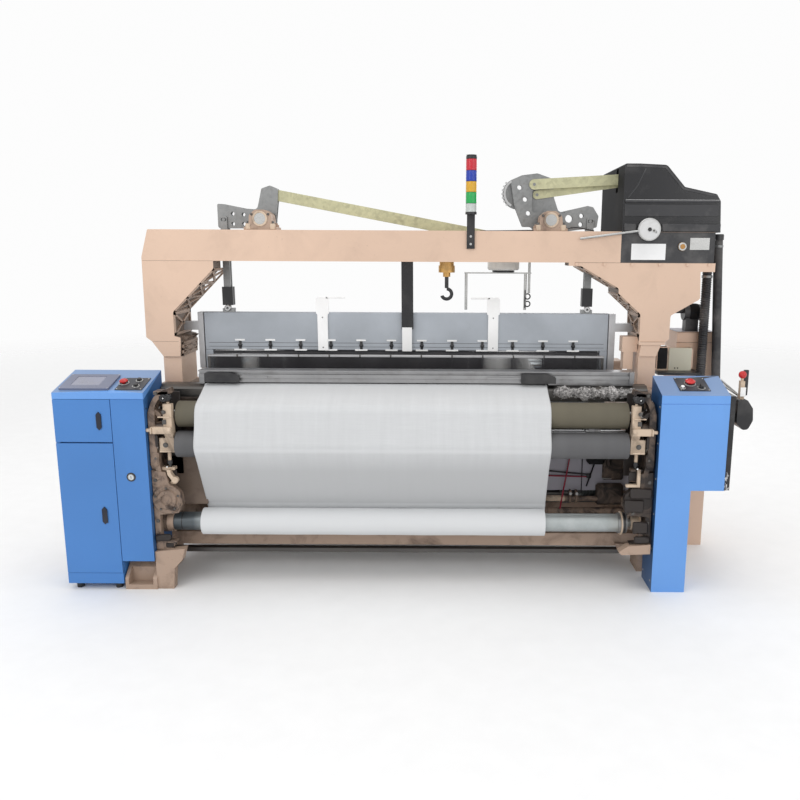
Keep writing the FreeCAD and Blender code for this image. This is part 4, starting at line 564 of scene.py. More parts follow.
def weave(name, colour, shade, threads):
    """Plain woven cloth on its own UV map, in metres: warp and weft threads that cross, slubs
    along the weft, slow streaks and soft sheen, with light and shade painted in by height:
    painted shade on the lower span and over the top, a painted highlight band above the lower
    span and painted light on the roll."""
    f = Finish(name)
    uv = f.node("ShaderNodeUVMap", {"uv_map": "UVMap"})
    warp = f.wave(threads, "X", uv, 0.15)
    weft = f.wave(threads, "Y", uv, 0.15)
    streak = f.noise(30.0, 4, 0.6, f.stretched((1.0, 0.08, 1.0), uv))
    slub = f.noise(24.0, 5, 0.7, f.stretched((0.3, 6.0, 1.0), uv))
    broad = f.patches(0.3, 0.7, 1.6, 3, 0.5, uv)
    tone = f.blend(f.between(streak * 0.5 + slub * 0.5, 0.35, 0.65), shade, colour)
    tone = f.blend(broad * 0.4, tone, scaled(shade, 0.97))
    up = f.height(2)
    # Painted shade: the lower span of the cloth is darkened.
    below = f.between(up, 0.6, 0.7, 1.0, 0.0) * f.between(up, 0.395, 0.41)
    tone = f.blend(below * 0.75, tone, scaled(shade, 0.8))
    # Painted highlight: a lighter band just above the darkened lower span.
    crest = f.between(up, 0.7, 0.712) * f.between(up, 0.735, 0.72)
    tone = f.blend(crest * 0.5, tone, scaled(colour, 1.12))
    # Painted light: the cloth low down, on the roll, is lightened.
    wound = f.between(up, 0.41, 0.395)
    tone = f.blend(wound * 0.8, tone, scaled(colour, 1.1))
    # Painted shade: the top of the cloth, over the breast beam, is darkened.
    lip = f.between(up, 0.955, 0.985)
    tone = f.blend(lip * 0.5, tone, scaled(shade, 0.93))
    thread = warp * weft + (1 - warp) * (1 - weft)
    return f.done(Base_Color=tone, Roughness=f.between(slub, 0.2, 0.8, 0.78, 0.92),
                  Normal=f.bump(thread * 0.6 + slub, 0.00025, 0.5), Specular_IOR_Level=0.25,
                  Sheen_Weight=0.15, Sheen_Roughness=0.5)


def yarn(name, colour, shade, pitch, axis):
    """Wound or laid yarn: fine lines across one axis, with soft darker streaks."""
    f = Finish(name)
    line = f.wave(pitch, axis, distortion=2.0)
    soft = f.patches(0.3, 0.7, 14.0, 5)
    tone = f.blend(line * 0.6 + soft * 0.4, shade, colour)
    return f.done(Base_Color=tone, Roughness=f.between(soft, 0.0, 1.0, 0.75, 0.92),
                  Normal=f.bump(line + soft * 0.3, 0.0004, 0.8), Sheen_Weight=0.2)


def coloured_lens(name, colour, clear):
    """Moulded lamp lens: upright prisms inside, slight tint drift, glossy skin."""
    f = Finish(name)
    flute = f.wave(60.0, "X")
    tone = f.blend(flute * 0.5 + f.noise(30.0, 2) * 0.3, scaled(colour, 0.72), scaled(colour, 1.15))
    return f.done(Base_Color=tone, Emission_Color=tone, Emission_Strength=0.05,
                  Transmission_Weight=clear, Roughness=f.between(flute, 0.0, 1.0, 0.12, 0.24),
                  Normal=f.bump(flute, 0.0004, 0.5), IOR=1.49)


def fluff(name, colour, dark):
    """Loose fibre waste: pale fibre over dark oily clumps."""
    f = Finish(name)
    clump = f.patches(0.4, 0.52, 62.0, 7, 0.75, distortion=1.6)
    hair = f.noise(300.0, 4, 0.8, distortion=2.0)
    tone = f.blend(clump, dark, colour)
    tone = f.blend(hair * 0.4, tone, scaled(colour, 1.2))
    return f.done(Base_Color=tone, Roughness=f.between(clump, 0.0, 1.0, 0.95, 0.8),
                  Normal=f.bump(hair + clump * 2, 0.002, 0.9))


# ---- What a user would change ----

def colour_property(name, description, default):
    return FloatVectorProperty(name=name, description=description, subtype="COLOR", size=3,
                               default=default, min=0, max=1)


class LoomColours(bpy.types.PropertyGroup):
    """Colours of the loom's finishes, linear."""

    enamel: colour_property("Enamel", "Arch and castings", (0.66, 0.475, 0.36))
    grime: colour_property("Grime", "Oil and dust on castings", (0.07, 0.045, 0.035))
    cabinet: colour_property("Cabinet", "Control cabinet paint", (0.05, 0.178, 0.46))
    lid: colour_property("Lid", "Cabinet lids and right cabinet", (0.115, 0.285, 0.635))
    cloth: colour_property("Cloth", "Woven cloth", (0.6, 0.61, 0.62))


class LoomSizes(bpy.types.PropertyGroup):
    """Counts and sizes of the fine pieces."""

    reed_wires: IntProperty(name="Reed wires", description="Upright wires in the reed",
                            default=420, min=50, max=900)
    healds: IntProperty(name="Healds", description="Healds in each heald frame",
                        default=420, min=50, max=600)
    warp_yarns: IntProperty(name="Warp yarns", description="Yarns shown in the warp sheet",
                            default=430, min=100, max=900)
    fold_depth: FloatProperty(name="Cloth folds", description="Depth of the cloth's soft folds",
                              default=0.0022, min=0, max=0.01, unit="LENGTH")
    floor_radius: FloatProperty(name="Floor radius", description="Reach of the floor",
                                default=30.0, min=5, max=100, unit="LENGTH")


def sizes():
    return bpy.context.scene.loom_sizes


FINISHES = {}


def tube_finish(name):
    """Galvanised roll tube: dull zinc that goes dark towards its left end."""
    f = Finish(name)
    lines = f.noise(90.0, 4, 0.6, f.stretched((0.2, 1.0, 1.0)))
    cloud = f.patches(0.35, 0.7, 12.0, 5, 0.6)
    tone = f.blend(cloud, (0.34, 0.37, 0.37), (0.46, 0.49, 0.49))
    tone = f.blend(f.between(f.height(0), -1.02, -1.1), tone, (0.085, 0.1, 0.11))
    tone = f.blend(f.between(f.height(0), 0.98, 1.05) * 0.7, tone, (0.3, 0.3, 0.28))
    return f.done(Base_Color=tone, Metallic=f.between(cloud, 0.0, 1.0, 0.35, 0.6),
                  Roughness=f.between(lines, 0.2, 0.8, 0.32, 0.5), Normal=f.bump(lines, 0.0001, 0.6))


def mix_finishes():
    """Make every material once, each from a row of its maker, name and settings."""
    c = bpy.context.scene.loom_colours
    paint, grime, blue, lid, cloth = (tuple(v) for v in (c.enamel, c.grime, c.cabinet, c.lid, c.cloth))
    rows = (
        (enamel, "enamel", paint, grime, 0.1, 0.4),
        (enamel, "enamel_low", scaled(paint, 0.6), grime, 0.75, 0.46, 0.0012),
        # Darker copy of the enamel: painted shade on the arch's ribs; it also colours the rear box's rim
        # strips.
        (enamel, "enamel_mid", scaled(paint, 0.6), grime, 0.5, 0.45, 0.001),
        # Darker copy of the enamel: painted shade on the arch columns' inner faces and on the plate
        # behind the rollers' left ends.
        (enamel, "enamel_dark", scaled(paint, 0.24), grime, 0.7, 0.5, 0.001),
        (enamel, "seam", scaled(paint, 0.3), grime, 0.4, 0.5),
        (enamel, "cream", (0.56, 0.44, 0.33), grime, 1.0, 0.42),
        (enamel, "grease", (0.022, 0.016, 0.014), (0.006, 0.005, 0.0045), 0.6, 0.4, 0.0015),
        (enamel, "motor", (0.06, 0.07, 0.068), (0.02, 0.018, 0.016), 0.4, 0.42),
        (oily, "oily_left", scaled(paint, 0.42), (0.045, 0.03, 0.024), 0.55),
        # Darker oily finish of the right casting; it also colours the plate of painted shade behind the
        # rollers' left ends.
        (oily, "oily_right", scaled(paint, 0.2), (0.02, 0.014, 0.012), 0.8),
        (sheet_paint, "cabinet", blue, scaled(blue, 1.18), (0.03, 0.07, 0.2)),
        # Darker copy of the cabinet paint for the right cabinet's left side face: painted shade.
        (sheet_paint, "cabinet_side", scaled(blue, 0.34), scaled(blue, 0.46), (0.02, 0.04, 0.1)),
        # Darker copy of the cabinet paint for the left cabinet's right side face: painted shade.
        (sheet_paint, "cabinet_flank", scaled(blue, 0.56), scaled(blue, 0.76), (0.03, 0.06, 0.13)),
        (sheet_paint, "lid", lid, scaled(lid, 1.15), (0.05, 0.1, 0.25)),
        (sheet_paint, "lid_top", (0.135, 0.235, 0.43), (0.18, 0.28, 0.48), (0.05, 0.1, 0.25), 0.26),
        (sheet_paint, "splash", (0.33, 0.315, 0.36), (0.4, 0.385, 0.43), (0.12, 0.1, 0.1), 0.5),
        (sheet_paint, "pale_plate", (0.55, 0.53, 0.42), (0.62, 0.6, 0.5), (0.2, 0.18, 0.13)),
        (moulded, "soot", (0.012, 0.012, 0.013), 0.75, 220.0, 0.00012, 0.06, 0.15),
        (moulded, "wire_red", (0.26, 0.01, 0.032), 0.4, 220.0, 0.00012, 0.1),
        (moulded, "wire_black", (0.014, 0.012, 0.013), 0.4, 220.0, 0.00012, 0.1),
        (moulded, "latch", (0.006, 0.008, 0.02), 0.35, 220.0, 0.00012, 0.05),
        (moulded, "console", (0.018, 0.02, 0.03), 0.35, 220.0, 0.00012, 0.4),
        (moulded, "bezel", (0.15, 0.165, 0.24), 0.32),
        (moulded, "pane", (0.26, 0.27, 0.35), 0.12, 40.0, 0.00003, 0.35),
        (moulded, "amber_glass", (0.4, 0.2, 0.05), 0.1, 30.0, 0.00003, 0.05),
        (moulded, "red", (0.52, 0.02, 0.02), 0.25, 220.0, 0.00012, 0.1),
        (moulded, "black", (0.012, 0.012, 0.014), 0.3),
        (moulded, "black_gloss", (0.01, 0.01, 0.012), 0.2, 120.0, 0.0002, 0.14),
        (moulded, "case", (0.026, 0.026, 0.029), 0.36, 90.0, 0.0005, 0.4),
        (moulded, "white", (0.88, 0.88, 0.87), 0.35, 220.0, 0.00012, 0.08),
        (moulded, "bare", (0.8, 0.8, 0.8), 0.3, 220.0, 0.00012, 0.06),
        (moulded, "hose", (0.022, 0.022, 0.025), 0.55, 160.0, 0.0002, 0.5),
        (moulded, "moulded_brown", (0.16, 0.07, 0.03), 0.45),
        (tube_finish, "roll_tube"),
        (metal, "steel", (0.5, 0.5, 0.49), 0.28, (1.0, 1.0, 8.0)),
        (metal, "dark_steel", (0.13, 0.125, 0.12), 0.38, (0.1, 1, 1), 60, 0.5),
        (metal, "chrome", (0.62, 0.66, 0.68), 0.14, (8.0, 1.0, 1.0), 60, 0.15),
        (metal, "alloy", (0.33, 0.33, 0.335), 0.36, (0.05, 1, 1), 160, 0.3, STAIN, 0.85),
        (metal, "rail_light", (0.5, 0.5, 0.51), 0.34, (0.05, 1, 1), 160, 0.2, STAIN, 0.6),
        (metal, "disc_face", (0.6, 0.6, 0.6), 0.34, (1.0, 1.0, 8.0), 60, 0.2, STAIN, 0.55),
        (metal, "panel", (0.4, 0.43, 0.47), 0.4, (0.03, 1, 1), 140, 0.1, (0.25, 0.25, 0.25), 0.25),
        (metal, "heald", (0.06, 0.058, 0.064), 0.55, (1, 1, 1), 60, 0.1, STAIN, 0.1),
        (metal, "heald_bright", (0.55, 0.55, 0.55), 0.3, (0.1, 1, 1), 90, 0.2),
        (metal, "brass", (0.62, 0.36, 0.12), 0.3, (1, 1, 4), 60, 0.5),
        # Bare metal look: real scratches on the right cabinet's wing, and a painted highlight along the
        # shedding case's top ledge.
        (metal, "scratch", (0.7, 0.7, 0.7), 0.4, (1, 1, 1), 200, 0.1),
        (zinc, "zinc", (0.27, 0.275, 0.275)),
        (zinc, "pale_rod", (0.5, 0.49, 0.31), 0.3),
        (grip_cover, "upper_cover", (0.16, 0.145, 0.1), (0.085, 0.075, 0.052), (0.125, 0.11, 0.078)),
        (grip_cover, "lower_cover", (0.13, 0.13, 0.135), (0.07, 0.07, 0.073), (0.115, 0.115, 0.12)),
        (weave, "cloth", cloth, scaled(cloth, 0.9), 160.0),
        (yarn, "yarn", (0.8, 0.79, 0.76), (0.6, 0.59, 0.56), 90.0, "Z"),
        (yarn, "beam_yarn", (0.74, 0.74, 0.72), (0.5, 0.5, 0.48), 120.0, "X"),
        (fluff, "lint", (0.62, 0.6, 0.59), (0.02, 0.018, 0.018)),
        (coloured_lens, "lens_clear", (0.66, 0.7, 0.68), 0.35),
        (coloured_lens, "lens_green", (0.02, 0.42, 0.1), 0.2),
        (coloured_lens, "lens_amber", (0.75, 0.42, 0.03), 0.2),
        (coloured_lens, "lens_blue", (0.015, 0.05, 0.42), 0.2),
        (coloured_lens, "lens_red", (0.62, 0.02, 0.04), 0.2),
    )
    for make, name, *settings in rows:
        FINISHES[name] = make(name, *settings)


# ---- Camera and stage ----

CAMERA_PLACE = (0.1754, -4.3225, 1.66965)
CAMERA_PITCH = math.radians(10.91)
CAMERA_ROLL = math.radians(0.28)
CAMERA_LENS = 34.56
CAMERA_SHIFT = -0.0583
LIGHTS = (("front_left", (-3.4, -5.0, 4.0), (0, 0, 1.0), (3.0, 3.0), 60),
          ("front_right", (4.0, -4.6, 3.0), (0.3, 0, 0.9), (2.6, 2.6), 30),
          ("overhead", (0.0, -0.6, 5.2), (0, 0, 0.8), (4.0, 2.5), 45),
          ("rear", (1.5, 5.0, 3.6), (0, 0, 1.0), (3.0, 3.0), 40))
FLOOR_CLEAR_FROM = 5.0
FLOOR_GONE_AT = 13.0


def make_camera():
    """Camera at the photograph's place: looking along +y, pitched down, rolled a little."""
    data = bpy.data.cameras.new("View")
    data.lens = CAMERA_LENS
    data.sensor_width = 36.0
    data.shift_x = CAMERA_SHIFT
    data.clip_end = 200.0
    camera = bpy.data.objects.new("View", data)
    bpy.context.scene.collection.objects.link(camera)
    ahead = Vector((0, math.cos(CAMERA_PITCH), -math.sin(CAMERA_PITCH)))
    level = Vector((1, 0, 0))
    up = level.cross(ahead)
    right = level * math.cos(CAMERA_ROLL) + up * math.sin(CAMERA_ROLL)
    up = right.cross(ahead)
    turn = Matrix((right, up, -ahead)).transposed().to_4x4()
    camera.matrix_world = Matrix.Translation(CAMERA_PLACE) @ turn
    bpy.context.scene.camera = camera


def area_light(name, place, target, size, power):
    data = bpy.data.lights.new(name, "AREA")
    data.shape = "RECTANGLE"
    data.size, data.size_y = size
    data.energy = power
    lamp = bpy.data.objects.new(name, data)
    bpy.context.scene.collection.objects.link(lamp)
    lamp.location = place
    lamp.rotation_euler = (Vector(target) - Vector(place)).to_track_quat("-Z", "Y").to_euler()


def make_stage():
    """Round pale floor that fades into the surroundings, soft lights from the front and above."""
    radius = sizes().floor_radius
    turn = np.linspace(0, 2 * np.pi, 96, endpoint=False)
    rings = np.array([0.001, 0.1, 0.3, 0.6, 1.0]) * radius
    points = np.stack([rings[:, None] * np.cos(turn), rings[:, None] * np.sin(turn),
                       np.zeros((len(rings), len(turn)))], axis=-1).reshape(-1, 3)
    mesh = bpy.data.meshes.new("floor")
    mesh.from_pydata(points.tolist(), [], [face[::-1] for face in
                                           grid_faces(len(rings), len(turn), wrap_cols=True)]
                     + [list(range(len(turn)))])
    floor = bpy.data.objects.new("floor", mesh)
    bpy.context.scene.collection.objects.link(floor)
    f = Finish("floor")
    speck = f.noise(8.0, 6, 0.6)
    tone = f.blend(speck, (0.82, 0.82, 0.82), (0.88, 0.88, 0.88))
    f.done(Base_Color=tone, Roughness=0.75, Normal=f.bump(f.noise(60.0, 3), 0.0004, 0.3))
    flat = f.node("ShaderNodeVectorMath", {"operation": "LENGTH"}, {0: f.place}, "Value")
    fade = f.between(flat, FLOOR_CLEAR_FROM, FLOOR_GONE_AT)
    clear = f.node("ShaderNodeBsdfTransparent")
    mix = f.tree.nodes.new("ShaderNodeMixShader")
    f.feed(mix.inputs[0], fade)
    f.tree.links.new(f.shader.outputs[0], mix.inputs[1])
    f.feed(mix.inputs[2], clear)
    f.tree.links.new(mix.outputs[0], f.output.inputs["Surface"])
    mesh.materials.append(f.material)

    world = bpy.data.worlds.new("surroundings")
    world.use_nodes = True
    back = world.node_tree.nodes["Background"]
    back.inputs["Color"].default_value = (1.0, 1.0, 1.0, 1.0)
    back.inputs["Strength"].default_value = 0.98
    bpy.context.scene.world = world
    bpy.context.scene.view_settings.view_transform = "Standard"
    for row in LIGHTS:
        area_light(*row)


# ---- Finish of the frame's own pieces ----

PLAIN_NODES = {
    "enamel_low": ("left_side_frame", "right_side_frame"), "enamel": ("arch_beam",),
    "dark_steel": ("breast_beam",), "alloy": ("temple_rail", "sley"),
    "red": ("left_stop_button", "right_stop_button"),
    "black": ("start_button", "jog_button", "turn_knob"), "white": ("white_button",),
    "chrome": ("back_rest_roller",), "motor": ("drive_motor",), "heald": ("reed",),
    "cloth": ("cloth", "cloth_roll", "warp_sheet", "lint_heap", "yarn_package"),
    "lens_clear": ("tower_lenses",), "hose": ("rear_hoses",),
}


def dress_frame():
    """Give every frame node its finish, and patches of others where the photograph shows them."""
    for finish, nodes in PLAIN_NODES.items():
        for node in nodes:
            dress(node, finish)
    dress("cross_members", "enamel_low",
          ("dark_steel", -1.3, 1.3, 0.2619, 0.2691, 0.09, 0.125),
          ("dark_steel", -1.3, 1.3, 0.255, 0.305, 0.0975, 0.1225),
          ("dark_steel", -1.3, 1.3, 0.6, 0.79, 0.22, 0.315),
          ("soot", -1.3, 1.3, 0.76, 0.77, 0.2255, 0.8))
    # The arch columns' inner faces take the darker enamel: painted shade.
    dress("left_arch_column", "enamel",
          ("enamel_dark", -1.32, -0.95, 0.3501, 0.609, 1.13, 1.6195))
    dress("right_arch_column", "enamel",
          ("enamel_dark", 0.82, 1.2061, 0.3501, 0.609, 1.241, 1.6195))
    dress("temples", "black",
          ("alloy", -0.829, -0.68, 0.2, 0.24, 1.03, 1.06),
          ("alloy", 0.41, 0.5899, 0.2, 0.24, 1.03, 1.06))
    dress("left_cabinet", "cabinet", ("lid", -1.68, -1.23, -0.01, 0.26, 0.972, 1.2),
          ("lid_top", -1.67, -1.24, 0.003, 0.25, 1.006, 1.2),
          ("console", -1.3801, -1.2499, 0.02, 0.165, 1.006, 1.06),
          ("chrome", -1.345, -1.29, -0.0045, -0.0021, 0.55, 0.62),
          ("black", -1.345, -1.29, -0.0021, -0.0005, 0.55, 0.62),
          # Left cabinet's right side face in the darker blue: painted shade.
          ("cabinet_flank", -1.2352, -1.2349, 0.01, 0.26, 0.03, 0.97),
          ("black", -1.66, -1.4, 0.0, 0.26, 0.0, 0.0329))
    dress("upper_door", "cabinet", ("latch", -1.6, -1.4, -0.006, -0.0004, 0.8, 0.93))
    dress("lower_door", "cabinet", ("latch", -1.6, -1.4, -0.006, -0.0004, 0.3, 0.48))
    dress("touch_screen", "bezel", ("pane", -1.6081, -1.4679, 0.058, 0.1605, 1.02, 1.06))
    dress("right_cabinet", "lid", ("lid_top", 1.245, 1.6, 0.003, 0.187, 1.006, 1.2),
          ("console", 1.3389, 1.4871, 0.035, 0.178, 1.01, 1.07),
          # Right cabinet's left side face in the darker blue: painted shade.
          ("cabinet_side", 1.2425, 1.2435, 0.0, 0.2, 0.01, 1.07),
          ("black_gloss", 1.5715, 1.61, 0.0, 0.2, 0.5, 1.01))
    for node, finish in (("take_up_roller", "upper_cover"), ("press_roller", "lower_cover")):
        dress(node, finish, ("steel", -1.3, -1.1055, 0, 1, 0, 2), ("steel", 1.1055, 1.3, 0, 1, 0, 2))
    dress("cloth_beam", "roll_tube", ("enamel_low", -1.1921, -1.1599, 0, 1, 0, 2),
          ("zinc", 1.0839, 1.1281, 0, 1, 0, 2))
    dress("roller_brackets", "oily_left",
          ("cream", -1.21, 1.21, 0.05, 0.095, 0.53, 0.625),
          ("oily_right", 1.1, 1.3, 0.0, 0.34, 0.39, 0.96),
          ("cream", 1.13, 1.2, 0.09, 0.17, 0.28, 0.36))
    dress("press_levers", "cream", ("black_gloss", -1.3, 1.3, 0, 0.2, 0.9505, 1.0),
          ("black_gloss", -1.3, 1.3, 0.0, 0.2, 0.6, 0.66))
    for end in ("front", "rear"):
        dress(end + "_lift_rods", "zinc", ("black", -1.0, 1.0, 0, 1, 1.3869, 1.4831))
        for part, finish in (("left_lever", "zinc"), ("right_lever", "zinc"),
                             ("cross_rod", "pale_rod"), ("pull_rod", "pale_rod"),
                             ("heald_frames", "panel")):
            dress(end + "_" + part, finish)
    dress("lever_bearings", "enamel_low", ("steel", -1, 1, 0.3, 0.3649, 1.7, 1.9),
          ("steel", -1, 1, 0.4651, 0.6, 1.7, 1.9))
    dress("shedding_case", "case", ("soot", 1.09, 1.0925, 0.3, 0.95, 1.6, 1.8),
          ("bare", 1.142, 1.317, 0.3, 0.3499, 1.634, 1.716),
          ("steel", 1.436, 1.536, 0.3, 0.3499, 1.685, 1.746),
          ("brass", 1.377, 1.421, 0.3, 0.3499, 1.68, 1.724))
    dress("shedding_cover", "black_gloss", ("soot", 1.0905, 1.0965, 0.3, 0.95, 1.76, 2.12))
    dress("hand_lever", "steel", ("disc_face", 1.16, 1.29, 0.3, 0.36, 1.72, 1.85))
    dress("brake_housing", "black", ("steel", 1.5, 1.68, 0.1001, 0.18, 0.95, 1.07))
    dress("brake_lever", "cream", ("red", 1.6, 1.7, 0, 0.2, 1.0705, 1.12))
    dress("light_pole", "black", ("steel", 0.3, 0.36, 0.3, 0.3399, 1.69, 1.76))
    dress("frame_guides", "rail_light", ("black_gloss", -0.03, 0.04, 0.47, 0.4861, 1.2755, 1.7),
          ("white", -0.03, 0.03, 0.4729, 0.4801, 1.14, 1.2755),
          ("steel", -0.03, 0.04, 0.486, 0.49, 1.6, 1.7))
    dress("arch_hook", "black", ("brass", 0.1, 0.3, 0.3, 0.5, 1.5439, 1.6201))
    dress("yarn_stand", "steel", ("black", 0.45, 0.59, 0.57, 0.71, 1.5625, 1.574))
    dress("rear_box", "enamel", ("case", 1.487, 1.7, 0.63, 0.87, 1.2405, 1.25),
          ("cream", 1.434, 1.561, 0.59, 0.6405, 1.03, 1.16),
          ("case", 1.35, 1.59, 0.5, 0.8, 1.0215, 1.0345),
          ("case", 1.46, 1.66, 0.64, 0.76, 1.2501, 1.42))
    dress("warp_beam", "alloy", ("beam_yarn", -1.035, 0.75, 0.8, 1.5, 0.215, 0.725))


# ---- Cloth, roll and warp ----

def touch_line(centre_a, shift_a, centre_b, shift_b):
    """Points where the line a to b touches two circles; a shift is the signed radius along the
    line's left-hand normal."""
    dy, dz = centre_b[0] - centre_a[0], centre_b[1] - centre_a[1]
    heading = math.atan2(dz, dy) - math.asin((shift_a - shift_b) / math.hypot(dy, dz))
    normal = np.array([-math.sin(heading), math.cos(heading)])
    return (np.array(centre_a[:2]) + shift_a * normal, np.array(centre_b[:2]) + shift_b * normal)


def round_between(centre, start, end, count=14):
    """Shorter arc round a centre between two points."""
    a = math.atan2(start[1] - centre[1], start[0] - centre[0])
    b = math.atan2(end[1] - centre[1], end[0] - centre[0])
    b += 2 * math.pi * round((a - b) / (2 * math.pi))
    turn = np.linspace(a, b, count)
    radius = math.hypot(start[0] - centre[0], start[1] - centre[1])
    return np.stack([centre[0] + radius * np.cos(turn), centre[1] + radius * np.sin(turn)], axis=1)


def cloth_line():
    """Cloth's path in (y, z): fell, breast beam's nose, take-up roller, press roller, roll."""
    fell = np.array([FELL_Y, CLOTH_TOP + 0.001])
    nose = np.array([CLOTH_NOSE_Y, CLOTH_TOP + 0.001])
    upper, lower, wound = (r[2] + CLOTH_OFF for r in (TAKE_UP, PRESS, ROLL))
    nose, first = touch_line(nose, 0, TAKE_UP, -upper)
    second, third = touch_line(TAKE_UP, -upper, PRESS, -lower)
    fourth, fifth = touch_line(PRESS, -lower, ROLL, wound)
    return np.vstack([fell[None], nose[None], first[None], round_between(TAKE_UP, first, second),
                      round_between(PRESS, third, fourth), fifth[None]])


def warp_line():
    """Warp's path in (y, z): behind the heald frames, back rest, warp beam."""
    start = np.array([0.572, CLOTH_TOP + 0.001])
    start, first = touch_line(start, 0, BACK_REST, BACK_REST[2] + CLOTH_OFF)
    second, third = touch_line(BACK_REST, BACK_REST[2] + CLOTH_OFF, WARP_FLANGE,
                               WARP_YARN_RADIUS + CLOTH_OFF)
    return np.vstack([start[None], round_between(BACK_REST, first, second), third[None]])


def make_cloth():
    """Cloth: its path carried across the width, pushed outwards on the free spans by soft
    upright folds that die out at the rollers, with selvedges that curl a little."""
    rows, cols = 190, 220
    line = resample(cloth_line(), rows)
    along = np.linspace(0, 1, rows)
    length = float(np.linalg.norm(np.diff(line, axis=0), axis=1).sum())
    run = unit(np.gradient(line, axis=0))
    normal = np.stack([run[:, 1], -run[:, 0]], axis=1)      # away from the rollers
    across = np.linspace(0, 1, cols)
    x = CLOTH_LEFT + across * (CLOTH_RIGHT - CLOTH_LEFT)
    gap = np.min([np.hypot(line[:, 0] - y, line[:, 1] - z) - radius
                  for y, z, radius in (TAKE_UP, PRESS, ROLL)], axis=0)
    free = np.clip((gap - 0.002) / 0.03, 0, 1) * (line[:, 1] < CLOTH_TOP - 0.004)
    wide = (x[-1] - x[0])
    folds = (0.5 + 0.28 * np.sin(2 * np.pi * x / wide * 7.3 + 0.4)
             + 0.22 * np.sin(2 * np.pi * x / wide * 17.1 + 1.9))
    drift = 0.5 + 0.5 * np.sin(2 * np.pi * (along[:, None] * 1.6 + 0.6 * across[None]))
    push = sizes().fold_depth * free[:, None] * folds[None] * (0.55 + 0.45 * drift)
    edge = np.exp(-np.minimum(across, 1 - across) * wide / 0.008)
    push = push + 0.0012 * edge[None] * free[:, None]
    points = np.empty((rows, cols, 3))
    points[..., 0] = x[None] - 0.0022 * free[:, None] * np.sin(np.pi * across - np.pi / 2)[None]
    points[..., 1] = line[:, 0, None] + normal[:, 0, None] * push
    points[..., 2] = line[:, 1, None] + normal[:, 1, None] * push
    uv = np.stack(np.broadcast_arrays(across[None] * wide, along[:, None] * length), axis=-1)
    cloth = piece("woven_cloth", {"cloth": [(points.reshape(-1, 3), grid_faces(rows, cols))]},
                  replaces=["cloth"], uv=uv.reshape(-1, 2), closed=False)
    skin = cloth.modifiers.new("Thickness", "SOLIDIFY")
    skin.thickness = 0.0008
    skin.offset = 0.0


def make_roll():
    """Wound cloth: a barrel that swells a little between its ends, with the layers' spiral
    edges as rings of steps on its ends."""
    y, z, radius = ROLL
    low, high = span("cloth_roll")
    cols = 96
    turn = np.linspace(0, 2 * np.pi, cols, endpoint=False)
    steps = np.linspace(0, 1, 22)
    inner = TUBE_RADIUS + 0.0005
    ring_r = inner + (radius - 0.0022 - inner) * steps
    ring_in = 0.0016 * (np.arange(22) % 2) + 0.0012 * np.sin(steps * 9)
    lengthwise = np.linspace(0, 1, 60)
    body_r = radius - 0.0011 + 0.0005 * np.sin(lengthwise * 31) * np.sin(lengthwise * np.pi)
    body_x = low[0] + 0.002 + (high[0] - low[0] - 0.004) * lengthwise
    r = np.concatenate([ring_r, body_r, ring_r[::-1]])
    x = np.concatenate([low[0] + 0.0025 + ring_in, body_x, high[0] - 0.0025 - ring_in[::-1]])
    lump = 0.0004 * np.sin(turn * 3)[None] * np.sin(np.linspace(0, 25, len(r)))[:, None]
    edge_step = 0.0006 * (turn / (2 * np.pi))[None]
    rr = r[:, None] + lump - edge_step
    points = np.stack([np.broadcast_to(x[:, None], rr.shape), y + rr * np.cos(turn),
                       z + rr * np.sin(turn)], axis=-1)
    uv = np.stack(np.broadcast_arrays(x[:, None], (turn * radius)[None]), axis=-1)
    piece("wound_cloth", {"cloth": [(points.reshape(-1, 3),
                                              grid_faces(len(r), cols, wrap_rows=True, wrap_cols=True))]},
          body="cloth_beam", replaces=["cloth_roll"], uv=uv.reshape(-1, 2),
          weld=False)


def make_warp():
    """Warp sheet: flat ribbons side by side, all carried along one path."""
    line = resample(warp_line(), 34)
    count = sizes().warp_yarns
    pitch = (CLOTH_RIGHT - CLOTH_LEFT) / count
    left = CLOTH_LEFT + pitch * np.arange(count)
    x = np.stack([left + 0.1 * pitch, left + 0.9 * pitch], axis=1)
    points = np.empty((count, len(line), 2, 3))
    points[..., 0] = x[:, None]
    points[..., 1] = line[None, :, None, 0]
    points[..., 2] = line[None, :, None, 1]
    faces = np.array(grid_faces(len(line), 2))
    table = (faces[None] + (np.arange(count) * len(line) * 2)[:, None, None]).reshape(-1, 4).tolist()
    warp = piece("warp_yarns", {"beam_yarn": [(points.reshape(-1, 3), table)]},
                 replaces=["warp_sheet"], closed=False)


